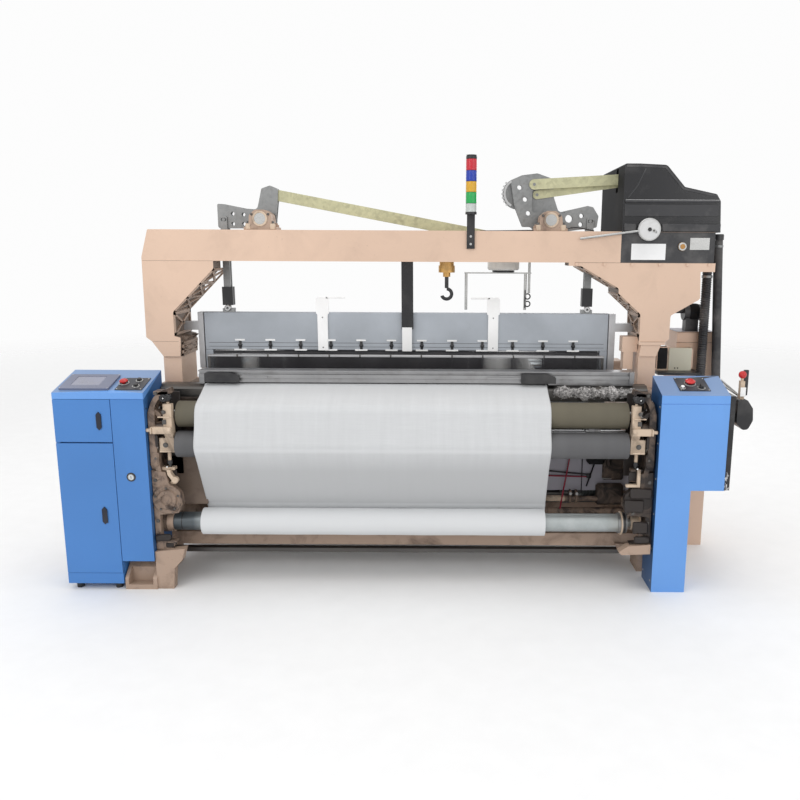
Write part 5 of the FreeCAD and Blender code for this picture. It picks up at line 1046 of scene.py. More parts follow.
def make_lint():
    """Lint heap: a lumpy bolster along the breast beam, its section swollen by summed waves,
    with loose tufts of fibre on it."""
    low, high = span("lint_heap")
    rows, cols = 120, 40
    u = np.linspace(0, 1, rows)
    turn = np.linspace(0, 2 * np.pi, cols, endpoint=False)
    swell = np.clip(np.minimum(u, 1 - u) * 9, 0.22, 1) ** 0.5
    half_z = (0.024 + 0.007 * np.sin(u * 21) + 0.004 * np.sin(u * 55 + 1)) * swell
    mid_z = low[2] + 0.036 + 0.003 * np.sin(u * 13)
    half_y = (0.021 + 0.005 * np.sin(u * 34 + 2) + 0.003 * np.sin(u * 77)) * swell
    back = high[1] - 0.0008
    x = low[0] + 0.012 + (high[0] - low[0] - 0.024) * u
    rough = (0.003 * np.sin(u[:, None] * 190 + 4 * np.sin(turn * 3)[None])
             + 0.0026 * np.sin(turn[None] * 7 + u[:, None] * 130)
             + 0.0022 * np.sin(turn[None] * 11 - u[:, None] * 260 + 1.0))
    y = back - half_y[:, None] * (1 - np.cos(turn)[None]) - np.abs(rough) * (1 - np.cos(turn)[None])
    z = mid_z[:, None] + (half_z[:, None] + rough) * np.sin(turn)[None]
    points = np.stack([np.broadcast_to(x[:, None], y.shape), y, z], axis=-1)
    body = (points.reshape(-1, 3), grid_faces(rows, cols, wrap_cols=True)
            + [list(range(cols)), list(range((rows - 1) * cols, rows * cols))])
    chance = np.random.default_rng(7)
    tufts = []
    for _ in range(170):
        at = chance.random()
        k = int(at * (rows - 1))
        start = points[k, chance.integers(8, 30)]
        lean = chance.normal(0, 1, 3) * np.array([1.0, 0.35, 0.6])
        lean = lean / np.linalg.norm(lean) * chance.uniform(0.008, 0.022)
        bend = chance.normal(0, 0.004, 3)
        path = np.stack([start, start + lean * 0.5 + bend, start + lean])
        path = np.clip(path, low + [0.002, 0.001, 0.001], [high[0] - 0.002, back, high[2] - 0.001])
        path += np.array([[0, 0, 0], [1e-4, 0, 2e-4], [2e-4, 0, 0]])
        tufts.append(tube(path, (0.0016, 0.0011, 0.0004), 5, (0.3, 0.9, 0.1)))
    piece("lint", {"lint": [body] + tufts}, replaces=["lint_heap"])


# ---- Hoses ----

HOSE_Y = 0.6
RIBBED_X = 1.618
RIBBED_TOP = 1.57
SHELF_TOP = 0.64
SMOOTH_TOP = (1.665, 1.74)
SMOOTH_BOTTOM = (1.722, 0.64)
RIBS = 76


def taut_hose(name, line, radius, replaces=()):
    """One hose: a tube on the line."""
    made = piece(name, {"hose": [tube(line, radius, 28, (0, 1, 0))]},
                 replaces=replaces, weld=False)


def make_hoses():
    """Ribbed hose: radius that swells and narrows as a sine along its line; smooth hose, straight;
    caps and clamps at their ends."""
    t = np.linspace(0, 1, 13)[:, None]
    route = np.array([RIBBED_X, HOSE_Y, RIBBED_TOP]) - t * [0, 0, RIBBED_TOP - SHELF_TOP]
    line = resample(route, 720)
    rib = 0.5 - 0.5 * np.cos(2 * np.pi * np.linspace(0, 1, len(line)) * RIBS)
    taut_hose("ribbed_hose", line, 0.0215 + 0.0045 * np.sqrt(rib), ["rear_hoses"])
    start = np.array([SMOOTH_TOP[0], HOSE_Y, SMOOTH_TOP[1]])
    end = np.array([SMOOTH_BOTTOM[0], HOSE_Y, SMOOTH_BOTTOM[1]])
    route = start + (end - start) * t
    taut_hose("smooth_hose", resample(route, 60), 0.024)
    caps = blocks((1.573, 1.638, 0.57, 0.6, 1.576, 1.616, 0.004),
                  (1.562, 1.675, 0.586, 0.614, 1.74, 1.768, 0.004))
    caps += [lathe([(0, 0), (0.028, 0), (0.028, high), (neck, high + 0.006), (0, high + 0.006)],
                   (x, HOSE_Y, z), UP)
             for x, z, high, neck in ((RIBBED_X, RIBBED_TOP, 0.034, 0.026), (*SMOOTH_TOP, 0.024, 0.025))]
    clamps = [lathe([(inner, 0), (outer, 0), (outer, 0.012), (inner, 0.012)], (x, HOSE_Y, z), UP)
              for inner, outer, x, z in ((0.0262, 0.0285, RIBBED_X, 1.54),
                                         (0.0262, 0.0285, RIBBED_X, 0.662),
                                         (0.0242, 0.0262, 1.6672, 1.7),
                                         (0.0242, 0.0262, 1.7205, 0.664))]
    piece("hose_fittings", {"black": caps, "zinc": clamps})


# ---- Reed and heald frames ----

HOOK_TOP = 1.198
HOOKS = -0.893 + 0.1622 * np.arange(12)
POSTS = (-0.447, 0.461)
PANEL = 0.2
STAY = 0.04
FIRST_FRAME_Y = 0.5
FRAME_STEP = 0.014


def wires(x, low, high, y0, y1, width):
    """Upright flat wires at the given x places, each a four-sided box, as whole arrays."""
    x = np.asarray(x, float)
    corner = np.array([[-1, 0], [1, 0], [1, 1], [-1, 1]], float)
    ring = np.empty((len(x), 2, 4, 3))
    ring[..., 0] = x[:, None, None] + corner[None, None, :, 0] * width / 2
    ring[..., 1] = y0 + (y1 - y0) * corner[None, None, :, 1]
    ring[:, 0, :, 2], ring[:, 1, :, 2] = low, high
    j = np.arange(4)
    face = np.stack([j, (j + 1) % 4, (j + 1) % 4 + 4, j + 4], axis=1)
    face = np.vstack([face, [[0, 1, 2, 3]], [[4, 5, 6, 7]]])
    table = face[None] + (np.arange(len(x)) * 8)[:, None, None]
    return ring.reshape(-1, 3), table.reshape(-1, 4).tolist()


def make_reed():
    """Reed: thin flat wires at an even pitch between two baulks, with end cheeks and a jointed
    cap."""
    (x0, y0, z0), (x1, y1, z1) = span("reed")
    rail = 0.014
    places = np.linspace(x0 + rail, x1 - rail, sizes().reed_wires)
    thin = wires(places, z0 + rail - 0.002, z1 - rail + 0.002, y0 + 0.0015, y1 - 0.0015, 0.0016)
    bars = blocks((x0, x1, y0, y1, z0, z0 + rail),
                  (x0, x0 + rail, y0, y1, z0 + rail, z1 - rail),
                  (x1 - rail, x1, y0, y1, z0 + rail, z1 - rail),
                  *[(x - 0.004, x + 0.004, y0 - 0.0008, y0 + 0.001, z1 - rail, z1 + 0.0004, 0.0004)
                    for x in HOOKS])
    cap = blocks((x0, x1, y0, y1, z1 - rail, z1, 0.003))
    piece("reed_wires", {"heald": [thin], "dark_steel": bars, "rail_light": cap},
          body="sley", replaces=["reed"], weld=False)


def make_heald_frames():
    """Four heald frames: panel, stays, bottom bar and thin healds between two rods, on even
    pitches; hooks, heald bar, pressed lines and posts on the front one."""
    low, high = span("rear_heald_frames")
    left, right, bottom, top = low[0], high[0], low[2], high[2]
    waist = top - PANEL
    inner_left, inner_right, sill = left + STAY, right - STAY, bottom + STAY
    x = np.linspace(inner_left + 0.006, inner_right - 0.006, sizes().healds)
    front, rear = {"panel": [], "heald": []}, {"panel": [], "heald": []}
    for number in range(4):
        y = FIRST_FRAME_Y + FRAME_STEP * number
        back = y + 0.01
        looks = front if number < 2 else rear
        looks["panel"] += blocks((left, right, y, back, waist, top, 0.002),
                                 (left, inner_left, y, back, bottom, waist, 0.002),
                                 (inner_right, right, y, back, bottom, waist, 0.002),
                                 (inner_left, inner_right, y, back, bottom, sill, 0.002))
        shift = number * 0.25 * (x[1] - x[0])
        looks["heald"].append(wires(x[:-1] + shift, sill - 0.001, waist + 0.001, y + 0.0042,
                                    y + 0.0058, 0.0023))
        looks["heald"] += blocks(
            (inner_left, inner_right, y + 0.003, y + 0.007, sill + 0.012, sill + 0.022),
            (inner_left, inner_right, y + 0.0035, y + 0.0065, waist - 0.022, waist - 0.012))
    y = FIRST_FRAME_Y
    face = y + 0.001
    front["dark_steel"] = blocks(*[(left + 0.02, right - 0.02, y - 0.0006, face, z, z + 0.0022, 0.0004)
                                   for z in (1.1865, 1.166)])
    front["heald_bright"] = blocks((inner_left - 0.001, inner_right + 0.001, y, y + 0.0035,
                                    waist - 0.036, waist - 0.024))
    front["heald_bright"] += [ring(0.007, 0.017, 0.01, (x, face, 1.372), AHEAD, 24)
                              for x in (-0.95, 0.958)]
    front["white"], front["black"], front["zinc"] = [], [], []
    for x in HOOKS:
        front["white"] += blocks(
            (x - 0.026, x + 0.026, y - 0.005, face, HOOK_TOP, HOOK_TOP + 0.009, 0.0008),
            (x - 0.033, x + 0.033, y - 0.005, face, HOOK_TOP - 0.052, HOOK_TOP - 0.043, 0.0008))
        front["black"] += blocks(
            (x - 0.007, x + 0.007, y - 0.005, face, HOOK_TOP - 0.044, HOOK_TOP + 0.001, 0.0008))
        front["black"].append(screw((x, y - 0.005, HOOK_TOP - 0.022), AHEAD, 0.011, 0.004))
        front["heald"] += blocks((x - 0.0025, x + 0.0025, face, y + 0.004, sill, waist, 0.0005))
    for x in POSTS:
        half = [(0.027, 1.149), (0.027, 1.34), (0.034, 1.346), (0.034, 1.423), (0.024, 1.433)]
        shape = [(x + dx, z) for dx, z in half] + [(x - dx, z) for dx, z in half[::-1]]
        front["white"].append(prism(shape, "xz", y - 0.011, face))
        inwards = 1 if x < 0 else -1
        ends = sorted((x + 0.02 * inwards, x + 0.12 * inwards))
        front["white"] += blocks((*ends, y - 0.011, y - 0.001, 1.424, 1.433, 0.001))
        front["zinc"] += many(screw, [(x, y - 0.011, z) for z in (1.165, 1.325)], AHEAD, 0.004, 0.0015)
    for end, looks in (("front", front), ("rear", rear)):
        piece("heald_frames_" + end, looks, body=end + "_heald_frames",
              replaces=[end + "_heald_frames"], weld=False)


# ---- Lamp and yarn package ----

TOWER = (0.332, 0.34)
LENS_STEPS = (1.866, 1.908, 1.962, 2.014, 2.066, 2.121, 2.139)
LENS_LOOKS = ("lens_clear", "lens_green", "lens_amber", "lens_blue", "lens_red", "black")


def make_lenses():
    """Lamp tower: one lens per step, each a turned shell with rounded shoulders and a dark
    joint ring between lenses."""
    looks = {}
    for low, high, look in zip(LENS_STEPS, LENS_STEPS[1:], LENS_LOOKS):
        soft = 0.0035 if look != "black" else 0.008
        crown = high - low - 0.0012
        top = arc((0.0272 - soft, crown - soft), soft, 0, 90, 5)
        rings = np.linspace(0.002, high - low - 0.008, 7)[1:-1]
        side = np.stack([np.where(np.arange(len(rings)) % 2, 0.0272, 0.0268), rings], axis=1)
        profile = np.vstack([[[0, 0], [0.0268, 0], [0.0272, 0.0015]], side, top, [[0, crown]]])
        looks.setdefault(look, []).append(lathe(profile, (*TOWER, low), UP, 40))
        joint = lathe([(0, 0), (0.0262, 0), (0.0262, 0.0013), (0, 0.0013)],
                      (*TOWER, high - 0.0013), UP, 40)
        looks.setdefault("black", []).append(joint)
    piece("tower_lamp", looks, replaces=["tower_lenses"])


def make_package():
    """Yarn package: a barrel with rounded shoulders whose surface rises and falls in crossing
    helices, on a plain tube."""
    low, high = span("yarn_package")
    centre = (low + high)[:2] / 2
    radius, height = (high[0] - low[0]) / 2 - 0.0008, high[2] - low[2]
    turn = np.linspace(0, 2 * np.pi, 96, endpoint=False)
    soft = 0.012
    side = np.stack([np.full(30, radius), np.linspace(0.016, height - 0.016, 30)], axis=1)
    profile = np.vstack([[(0.024, 0.001)], arc((radius - soft, 0.001 + soft), soft, -90, 0, 7), side,
                         arc((radius - soft, height - 0.001 - soft), soft, 0, 90, 7),
                         [(0.024, height - 0.003)]])
    up = profile[:, 1:]
    wound = 0.0007 * np.sin(turn[None] * 2 + up * 420) * np.sin(turn[None] * 2 - up * 420)
    r = profile[:, :1] + wound * (profile[:, :1] > 0.05)
    points = np.stack([centre[0] + r * np.cos(turn)[None], centre[1] + r * np.sin(turn)[None],
                       low[2] + up + 0.0 * r], axis=-1).reshape(-1, 3)
    core = lathe([(0.019, 0.0005), (0.0245, 0.0005), (0.0245, height - 0.0005),
                  (0.019, height - 0.0005)], (*centre, low[2]), UP, 32)[0]
    piece("yarn_cone", {"yarn": [(points, grid_faces(len(profile), 96, True, True))],
                        "moulded_brown": [(core, grid_faces(4, 32, True, True))]},
          replaces=["yarn_package"])


# ---- Cabinet fittings ----

def console_fittings(slope, screws, collars, width, rise):
    """Screw heads and rings round the buttons on a cabinet's sloped top."""
    shapes = [on_console(screw((0, up, off), UP, radius, height), x, slope)
              for x, up, off, radius, height in screws]
    shapes += [on_console(ring(r, r + width, rise, (0, up, 0.004), UP), x, slope)
               for x, up, r in collars]
    return shapes


def make_left_fittings():
    """Collars round the buttons, screws, hinges, finger notches and the lock's face on the left
    cabinet."""
    screws = [(x, up, 0.004, 0.0035, 0.0016) for x in (-1.372, -1.258) for up in (0.038, 0.154)]
    screws += [(x, up, 0.01, 0.0032, 0.0014) for x in (-1.645, -1.415) for up in (0.034, 0.184)]
    collars = ((-1.36, 0.1, 0.0206), (-1.295, 0.13, 0.0135), (-1.29, 0.066, 0.0135))
    lock_x, lock_z, side_x = -1.319, 0.586, -1.2352
    steel = console_fittings(LEFT_SLOPE, screws, collars, 0.0045, 0.0038)
    steel.append(ring(0.0125, 0.0142, 0.0004, (lock_x, -0.0046, lock_z), AHEAD))
    black = many(screw, [(side_x, y, z) for z in (0.12, 0.42, 0.64, 0.92) for y in (0.03, 0.225)],
                 RIGHT, 0.005, 0.002)
    black += blocks((lock_x - 0.0012, lock_x + 0.0012, -0.0049, -0.0044, lock_z - 0.007,
                     lock_z + 0.007, 0.0001))
    latch = [rod((-1.6675, 0.006, z), (-1.6675, 0.006, z + 0.045), 0.0033, 10)
             for z in (0.6, 0.7, 0.86, 0.13, 0.26, 0.44)]
    latch += blocks((-1.458, -1.448, -0.0046, -0.0036, 0.843, 0.885, 0.0003),
                    (-1.458, -1.448, -0.0046, -0.0036, 0.352, 0.42, 0.0003))
    piece("left_cabinet_fittings", {"black": black, "steel": steel, "latch": latch})


def make_right_fittings():
    """Collars, screws and the bare scratches of the rubbed wing on the right cabinet."""
    screws = [(x, up, 0.004, 0.0035, 0.0016) for x in (1.345, 1.481) for up in (0.05, 0.166)]
    collars = ((1.404, 0.112, 0.0246), (1.357, 0.068, 0.0105), (1.448, 0.07, 0.0155))
    steel = console_fittings(RIGHT_SLOPE, screws, collars, 0.004, 0.0036)
    steel += many(screw, [(1.2428, y, z) for z in (0.05, 0.22, 0.4, 0.58, 0.76, 0.94)
                          for y in (0.03, 0.165)], (-1, 0, 0), 0.006, 0.0025)
    chance = np.random.default_rng(11)
    scratches = []
    for _ in range(26):
        z = 0.535 + 0.1 * chance.random() ** 1.6
        x = 1.574 + 0.022 * chance.random()
        size = 0.0012 + 0.004 * chance.random()
        scratches += blocks((x - size * 0.5, x + size * 0.5, 0.0096, 0.0101, z - size * 1.6,
                             z + size * 1.6, 0.0002))
    piece("right_cabinet_fittings", {"steel": steel, "scratch": scratches})


# ---- Brackets, rollers' ends and press levers ----

LEVER_X = 1.1495
PIN_Z = 0.817
FOOT = [(-1.2335, 0.196), (-1.15, 0.206), (-1.084, 0.212), (-1.102, 0.15), (-1.142, 0.11),
        (-1.15, 0.0), (-1.2335, 0.0)]
TIP = [(1.232, 0.245), (1.12, 0.236), (1.075, 0.206), (1.09, 0.19), (1.232, 0.196)]
COVER_PROFILE = [(0, 0), (0.074, 0), (0.074, 0.034), (0.068, 0.04), (0.05, 0.036),
                 (0.046, 0.044), (0.03, 0.046), (0.026, 0.04), (0, 0.04)]


def side_casting(side, paint, deep, pale):
    """One end's castings before the rollers: curved rib, dark web, round cover with its rings
    and bolts, lower plate, stub pin with its nut, bent lever and the oiler on the tube."""

    def flat(*outline):
        return [(x * side, z) for x, z in outline]

    def cubes(*rows):
        return blocks(*[(*sorted((x0 * side, x1 * side)), *rest[:4], *(rest[4:] or (0.002,)))
                        for x0, x1, *rest in rows])

    def at(x, y, z):
        return x * side, y, z

    rib = smooth_path(flat((1.122, 1.006), (1.172, 0.992), (1.212, 0.94), (1.222, 0.86),
                           (1.222, 0.76), (1.21, 0.67), (1.196, 0.6)), 30)
    spoke = smooth_path(flat((1.218, 0.9), (1.195, 0.905), (1.176, 0.88)), 12)
    plate = flat((1.232, 0.61), (1.165, 0.6), (1.15, 0.54), (1.1, 0.5), (1.088, 0.44),
                 (1.112, 0.392), (1.205, 0.382), (1.205, 0.255), (1.128, 0.245), (1.15, 0.205),
                 (1.232, 0.2))
    nut = lathe([(0, 0), (0.019, 0), (0.019, 0.012), (0.014, 0.016), (0, 0.016)],
                at(1.13, 0.014, PIN_Z), (-side, 0, 0), 6)
    looks = {paint: [band(rib, 0.024, 0.036, 0.1), band(spoke, 0.02, 0.04, 0.09),
                     prism(plate, "xz", 0.034, 0.07)]
             + cubes((1.128, 1.199, 0.036, 0.1, 0.985, 1.004),
                     (1.19, 1.226, 0.03, 0.068, 0.64, 0.7)),
             deep: cubes((1.112, 1.199, 0.15, 0.158, 0.56, 0.985),
                         (1.118, 1.196, 0.06, 0.068, 0.56, 0.604),
                         (1.14, 1.19, 0.03, 0.06, 0.205, 0.24, 0.01),
                         (1.15, 1.228, 0.01, 0.034, 0.25, 0.285, 0.008),
                         (1.188, 1.202, 0.026, 0.034, 0.73, 0.79, 0.004)),
             pale: [rod(at(1.2345, 0.014, PIN_Z), at(1.2, 0.014, PIN_Z), 0.0085, 20), nut]
             + cubes((1.13, 1.205, 0.004, 0.024, 0.8, 0.834),
                     (1.206, 1.214, -0.002, 0.03, 0.801, 0.833),
                     (1.12, 1.179, 0.016, 0.024, 0.878, 0.884, 0.001),
                     (1.12, 1.179, 0.016, 0.024, 0.708, 0.716, 0.001)),
             "black_gloss": [ring(0.007, 0.019, 0.01, at(LEVER_X, 0.03, 0.972), AHEAD, 24)],
             "dark_steel": [bolt(at(LEVER_X, 0.0215, 0.905), AHEAD, 0.008, 0.005),
                            bolt(at(LEVER_X, 0.0215, 0.742), AHEAD, 0.01, 0.006)]
             + cubes((1.14, 1.159, 0.019, 0.024, 0.845, 0.868, 0.001)),
             # White domes in the middle of the black knobs: painted highlights.
             "white": [screw(at(LEVER_X, 0.0235, 0.972), AHEAD, 0.004),
                       screw(at(LEVER_X, 0.0215, 0.632), AHEAD, 0.004)]}
    if side < 0:
        hub_x, hub_z = -1.163, 0.462
        looks[paint].append(lathe(COVER_PROFILE, (hub_x, 0.066, hub_z), AHEAD))
        looks["enamel_low"] = [prism(FOOT, "xz", 0.012, 0.06)]
        # Plate behind the rollers' left ends in the darker enamel: a sheet of painted shade where the
        # loom's inside shows.
        looks["enamel_dark"] = blocks((-1.199, -1.0, 0.15, 0.158, 0.4, 0.655))
        looks[pale] += [band([(-1.15, 0.612), (-1.146, 0.59), (-1.126, 0.562)], 0.018, 0.034, 0.06),
                        lathe([(0, 0), (0.017, 0), (0.017, 0.02), (0.012, 0.024), (0, 0.02)],
                              (-1.122, 0.056, 0.56), AHEAD, 24)]
        looks["dark_steel"] += [bolt((x, 0.0285, z), AHEAD, 0.005, 0.006)
                                for x, z in arc((hub_x, hub_z), 0.059, 20, 308, 5)]
    else:
        looks[pale] += cubes((1.153, 1.169, 0.03, 0.046, 0.545, 0.625),
                             (1.1, 1.169, 0.03, 0.052, 0.535, 0.549))
        looks[deep] += cubes((1.095, 1.19, 0.022, 0.034, 0.41, 0.47, 0.01),
                             (1.12, 1.226, 0.018, 0.034, 0.48, 0.53, 0.012),
                             (1.14, 1.215, 0.012, 0.034, 0.3, 0.36, 0.012))
        looks["enamel_low"] = [prism(TIP, "xz", 0.012, 0.06)]
    places = ((1.215, 0.56), (1.215, 0.35), (1.14, 0.4), (1.206, 0.672), (1.186, 0.994))
    looks["dark_steel"] += many(bolt, [at(x, 0.0335, z) for x, z in places], AHEAD, 0.007, 0.006)
    return looks


def make_bracket_fittings():
    """Castings, levers, bolts and bearing caps at both ends of the rollers, a dark plate of
    painted shade behind their left ends and the cloth beam's rings."""
    for name, side in (("left", -1), ("right", 1)):
        piece(name + "_casting", side_casting(side, "oily_" + name, "grease", "cream"))
    looks = {"steel": [], "dark_steel": []}
    for side in (-1, 1):
        face = 1.1995 * side
        for centre, r in ((TAKE_UP[:2], 0.04), (PRESS[:2], 0.036)):
            looks["steel"].append(ring(r * 0.62, r, 0.006, (face, *centre), (-side, 0, 0), 36))
            looks["dark_steel"] += [bolt((face, *place), (-side, 0, 0), 0.0045, 0.01)
                                    for place in arc(centre, r * 0.8, 30, 270, 3)]
    # Plate behind the rollers' left ends in the darkest oily finish: a sheet of painted shade.
    looks["oily_right"] = blocks((-1.188, -0.95, 0.18, 0.186, 0.43, 0.95, 0.001))
    piece("bearing_caps", looks)
    y, z = ROLL[:2]
    piece("beam_rings", {"cream": [ring(0.0522, 0.06, 0.008, (1.098, y, z), RIGHT, 48)],
                         "black": [ring(0.0522, 0.0535, 0.012, (1.11, y, z), RIGHT, 48),
                                   ring(0.0462, 0.0468, 0.004, (-1.12, y, z), RIGHT, 40)]},
          body="cloth_beam")


# ---- Behind the cloth, on the right ----

def make_interior():
    """Splash plate with dark fittings before the motor, a shaft with clamps, a pipe below it and
    three thin stiff pull rods."""
    left, right, shaft_y, shaft_z, pipe_z = 0.64, 1.2295, 0.47, 0.335, 0.262
    collars = [ring(0.013, 0.028, 0.012, (x, shaft_y, shaft_z), RIGHT) for x in (0.893, 0.927)]
    looks = {"splash": blocks((left, right, 0.5, 0.504, 0.372, 0.64, 0.001)),
             "cream": [rod((left, shaft_y, shaft_z), (0.868, shaft_y, shaft_z), 0.017, 24)],
             "oily_left": [rod((0.868, shaft_y, shaft_z), (right, shaft_y, shaft_z), 0.014, 24),
                           rod((left, shaft_y, pipe_z), (right, shaft_y, pipe_z), 0.021, 24), *collars]
             + blocks((0.893, 0.905, 0.452, 0.488, 0.352, 0.382),
                      (0.927, 0.939, 0.452, 0.488, 0.352, 0.382)),
             "oily_right": blocks((1.075, 1.19, 0.47, 0.5, 0.44, 0.6, 0.012),
                                  (1.04, 1.19, 0.455, 0.495, 0.3, 0.42, 0.012),
                                  (1.09, 1.11, 0.44, 0.47, 0.52, 0.64, 0.006)),
             "soot": [rod((1.03, 0.485, 0.53), (0.99, 0.485, 0.4), 0.004),
                      rod((0.964, 0.492, 0.6), (0.964, 0.492, 0.36), 0.0025)]
             + blocks((0.985, 1.075, 0.44, 0.5, 0.535, 0.575, 0.01),
                      (0.972, 1.05, 0.45, 0.5, 0.568, 0.64, 0.008)),
             "steel": [bolt((0.899, 0.4515, 0.368), AHEAD, 0.006, 0.006),
                       bolt((0.933, 0.4515, 0.368), AHEAD, 0.006, 0.006),
                       rod((1.07, 0.455, 0.455), (1.12, 0.455, 0.452), 0.003)],
             "wire_red": [rod((0.9, 0.494, 0.6), (0.842, 0.447, 0.2835), 0.0042, 10),
                          rod((left, 0.491, 0.462), (1.01, 0.4945, 0.452), 0.0045, 10)],
             "wire_black": [rod((left, 0.49, 0.498), (1.01, 0.4945, 0.464), 0.0045, 10)]
             + blocks((0.99, 1.016, 0.488, 0.5, 0.444, 0.47, 0.003))}
    piece("interior_fittings", looks)


# ---- Arch ----

def lattice(start, end, y0, y1, bays, bar=0.013, rise=0.007):
    """Cast ribs on a flat inner face between two (x, z) points: a border and crossed bars."""
    start, end = np.asarray(start, float), np.asarray(end, float)
    reach = float(np.linalg.norm(end - start))
    run = (end - start) / reach
    lift = np.array([run[1], -run[0]])
    half = bar / 2
    strips = [((half, y0), (half, y1)), ((reach - half, y0), (reach - half, y1)),
              ((0, y0 + half), (reach, y0 + half)), ((0, y1 - half), (reach, y1 - half))]
    cuts = np.linspace(half, reach - half, bays + 1)
    for a, b in zip(cuts, cuts[1:]):
        strips += [((a, y0), (b, y1)), ((a, y1), (b, y0)), ((b, y0), (b, y1))]
    shapes = []
    for a, b in np.array(strips):
        along = (b - a) / np.linalg.norm(b - a)
        side = np.array([-along[1], along[0]]) * half
        flat, faces = prism([a + side, b + side, b - side, a - side], "xy", -0.001, rise)
        points = np.empty_like(flat)
        points[:, 0] = start[0] + flat[:, 0] * run[0] + flat[:, 2] * lift[0]
        points[:, 1] = np.clip(flat[:, 1], y0, y1)
        points[:, 2] = start[1] + flat[:, 0] * run[1] + flat[:, 2] * lift[1]
        shapes.append((points, faces))
    return shapes


def make_arch_fittings():
    """Ribs in the arch's inner faces, the joint lines of its castings and two thin cables along
    its beam."""
    y0, y1, front = 0.352, 0.606, 0.3495
    ribs = []
    for start, end, cut, bays in (((-1.19, 1.361), (-0.972, 1.582), 0, 3),
                                  ((-1.19, 1.24), (-1.19, 1.358), 0, 1),
                                  ((-1.165, 1.132), (-1.16, 1.203), 0.02, 2),
                                  ((0.896, 1.601), (1.087, 1.493), 0, 2),
                                  ((1.091, 1.464), (1.204, 1.363), 0, 2),
                                  ((1.206, 1.358), (1.206, 1.245), 0, 1)):
        ribs += lattice(start, end, y0 + cut, y1, bays)
    seams = blocks(*[(*row, 0.0003) for row in (
        (-1.33, -0.975, front, front + 0.001, 1.6194, 1.6206),
        (0.862, 1.57, front, front + 0.001, 1.619, 1.6208),
        (1.093, 1.56, 0.343, 0.3442, 1.7715, 1.7735),
        (1.208, 1.338, 0.3435, 0.3445, 1.2185, 1.22),
        (-1.25, -1.17, front, front + 0.001, 1.1292, 1.1308),
        (-1.306, -1.17, front, front + 0.001, 1.2085, 1.2097))])
    # The ribs take a darker copy of the enamel: painted shade, like the inner faces they stand on.
    piece("arch_fittings", {"enamel_mid": ribs, "seam": seams})
    cable = smooth_path([(0.385, 0.52, 1.7788), (0.47, 0.5, 1.779), (0.56, 0.47, 1.7792),
                         (0.64, 0.42, 1.7805), (0.69, 0.4, 1.779)], 40)
    tail = smooth_path([(0.8, 0.372, 1.7805), (0.85, 0.38, 1.798), (0.9, 0.395, 1.79),
                        (0.96, 0.4, 1.779)], 30)
    for number, line in enumerate((cable, tail), 1):
        wire = piece("arch_cable_%d" % number, {"wire_black": [tube(line, 0.0032, 10)]},
                     weld=False)
        tuple(line[0] + HOME)
        (line[::3] + HOME).tolist()


# ---- Lever and shedding fittings ----

CASE_FRONT = 0.35
BEARING_FRONT = 0.3645
LEVER_SHAFTS = (-0.729, 0.737)
SHAFT_Z = 1.83
DISC_FRONT = 0.3222
LEVER_DISC = (0.579, 1.968)


def make_shedding_fittings():
    """Sight glass, raised ledges and rim of the black cover, bearing rings and bolts at the lever
    shafts, and the hand disc's cap, rim and dimple."""
    near = CASE_FRONT + 0.001
    looks = {"steel": [ring(0.013, 0.0205, 0.004, (1.399, CASE_FRONT - 0.0055, 1.702), AHEAD, 36)],
             "amber_glass": [lathe([(0, 0), (0.0128, 0), (0.011, 0.0016), (0, 0.002)],
                                   (1.399, 0.3405, 1.702), AHEAD, 30)],
             "case": blocks((1.1, 1.574, CASE_FRONT - 0.007, near, 1.916, 1.93, 0.003),
                            (1.1, 1.572, CASE_FRONT - 0.003, near, 1.85, 1.908, 0.002),
                            (1.1, 1.16, CASE_FRONT - 0.009, near, 1.776, 1.814, 0.004),
                            (1.29, 1.584, CASE_FRONT - 0.009, near, 1.776, 1.814, 0.004))
             + [band([(1.1, 2.092), (1.17, 2.093), (1.294, 2.087), (1.388, 1.984), (1.548, 1.95)],
                     0.01, CASE_FRONT - 0.003, near),
                band([(1.115, 1.94), (1.16, 2.0), (1.196, 2.08)], 0.006, CASE_FRONT - 0.002, near)],
             # Light strip along the top ledge's front edge: painted highlight.
             "scratch": blocks((1.102, 1.572, CASE_FRONT - 0.0078, CASE_FRONT - 0.0068, 1.9285,
                                1.93, 0.0003)),
             "cream": [], "dark_steel": []}
    for x in LEVER_SHAFTS:
        centre = (x, BEARING_FRONT, SHAFT_Z)
        looks["cream"].append(ring(0.0285, 0.038, 0.006, centre, AHEAD, 36))
        looks["dark_steel"] += [ring(0.0225, 0.028, 0.004, centre, AHEAD, 36),
                                screw(centre, AHEAD, 0.005, 0.002)]
        for foot in (x - 0.062, x + 0.062):
            looks["cream"] += blocks((foot - 0.012, foot + 0.012, 0.362, 0.385, 1.7765, 1.806, 0.002))
            looks["dark_steel"].append(bolt((foot, 0.374, 1.806), UP, 0.008, 0.012))
        looks["dark_steel"] += many(bolt, [(x + dx, BEARING_FRONT, SHAFT_Z + 0.0216)
                                           for dx in (-0.042, 0.042)], AHEAD, 0.005, 0.005)
    piece("shedding_fittings", looks)
    dimple = (1.245, DISC_FRONT, 1.779)
    piece("hand_disc_fittings",
          {"steel": [ring(0.0055, 0.01, 0.0012, dimple, AHEAD, 24),
                     ring(0.05, 0.055, 0.0012, (1.224, DISC_FRONT, 1.785), AHEAD, 48)],
           "dark_steel": [lathe([(0, 0), (0.0055, 0), (0.0055, 0.0004), (0, 0.0004)], dimple,
                                AHEAD, 24)],
           "disc_face": [lathe([(0, 0), (0.013, 0), (0.012, 0.0006), (0, 0.0008)],
                               (1.224, 0.3219, 1.785), AHEAD, 24)]},
          body="hand_lever")


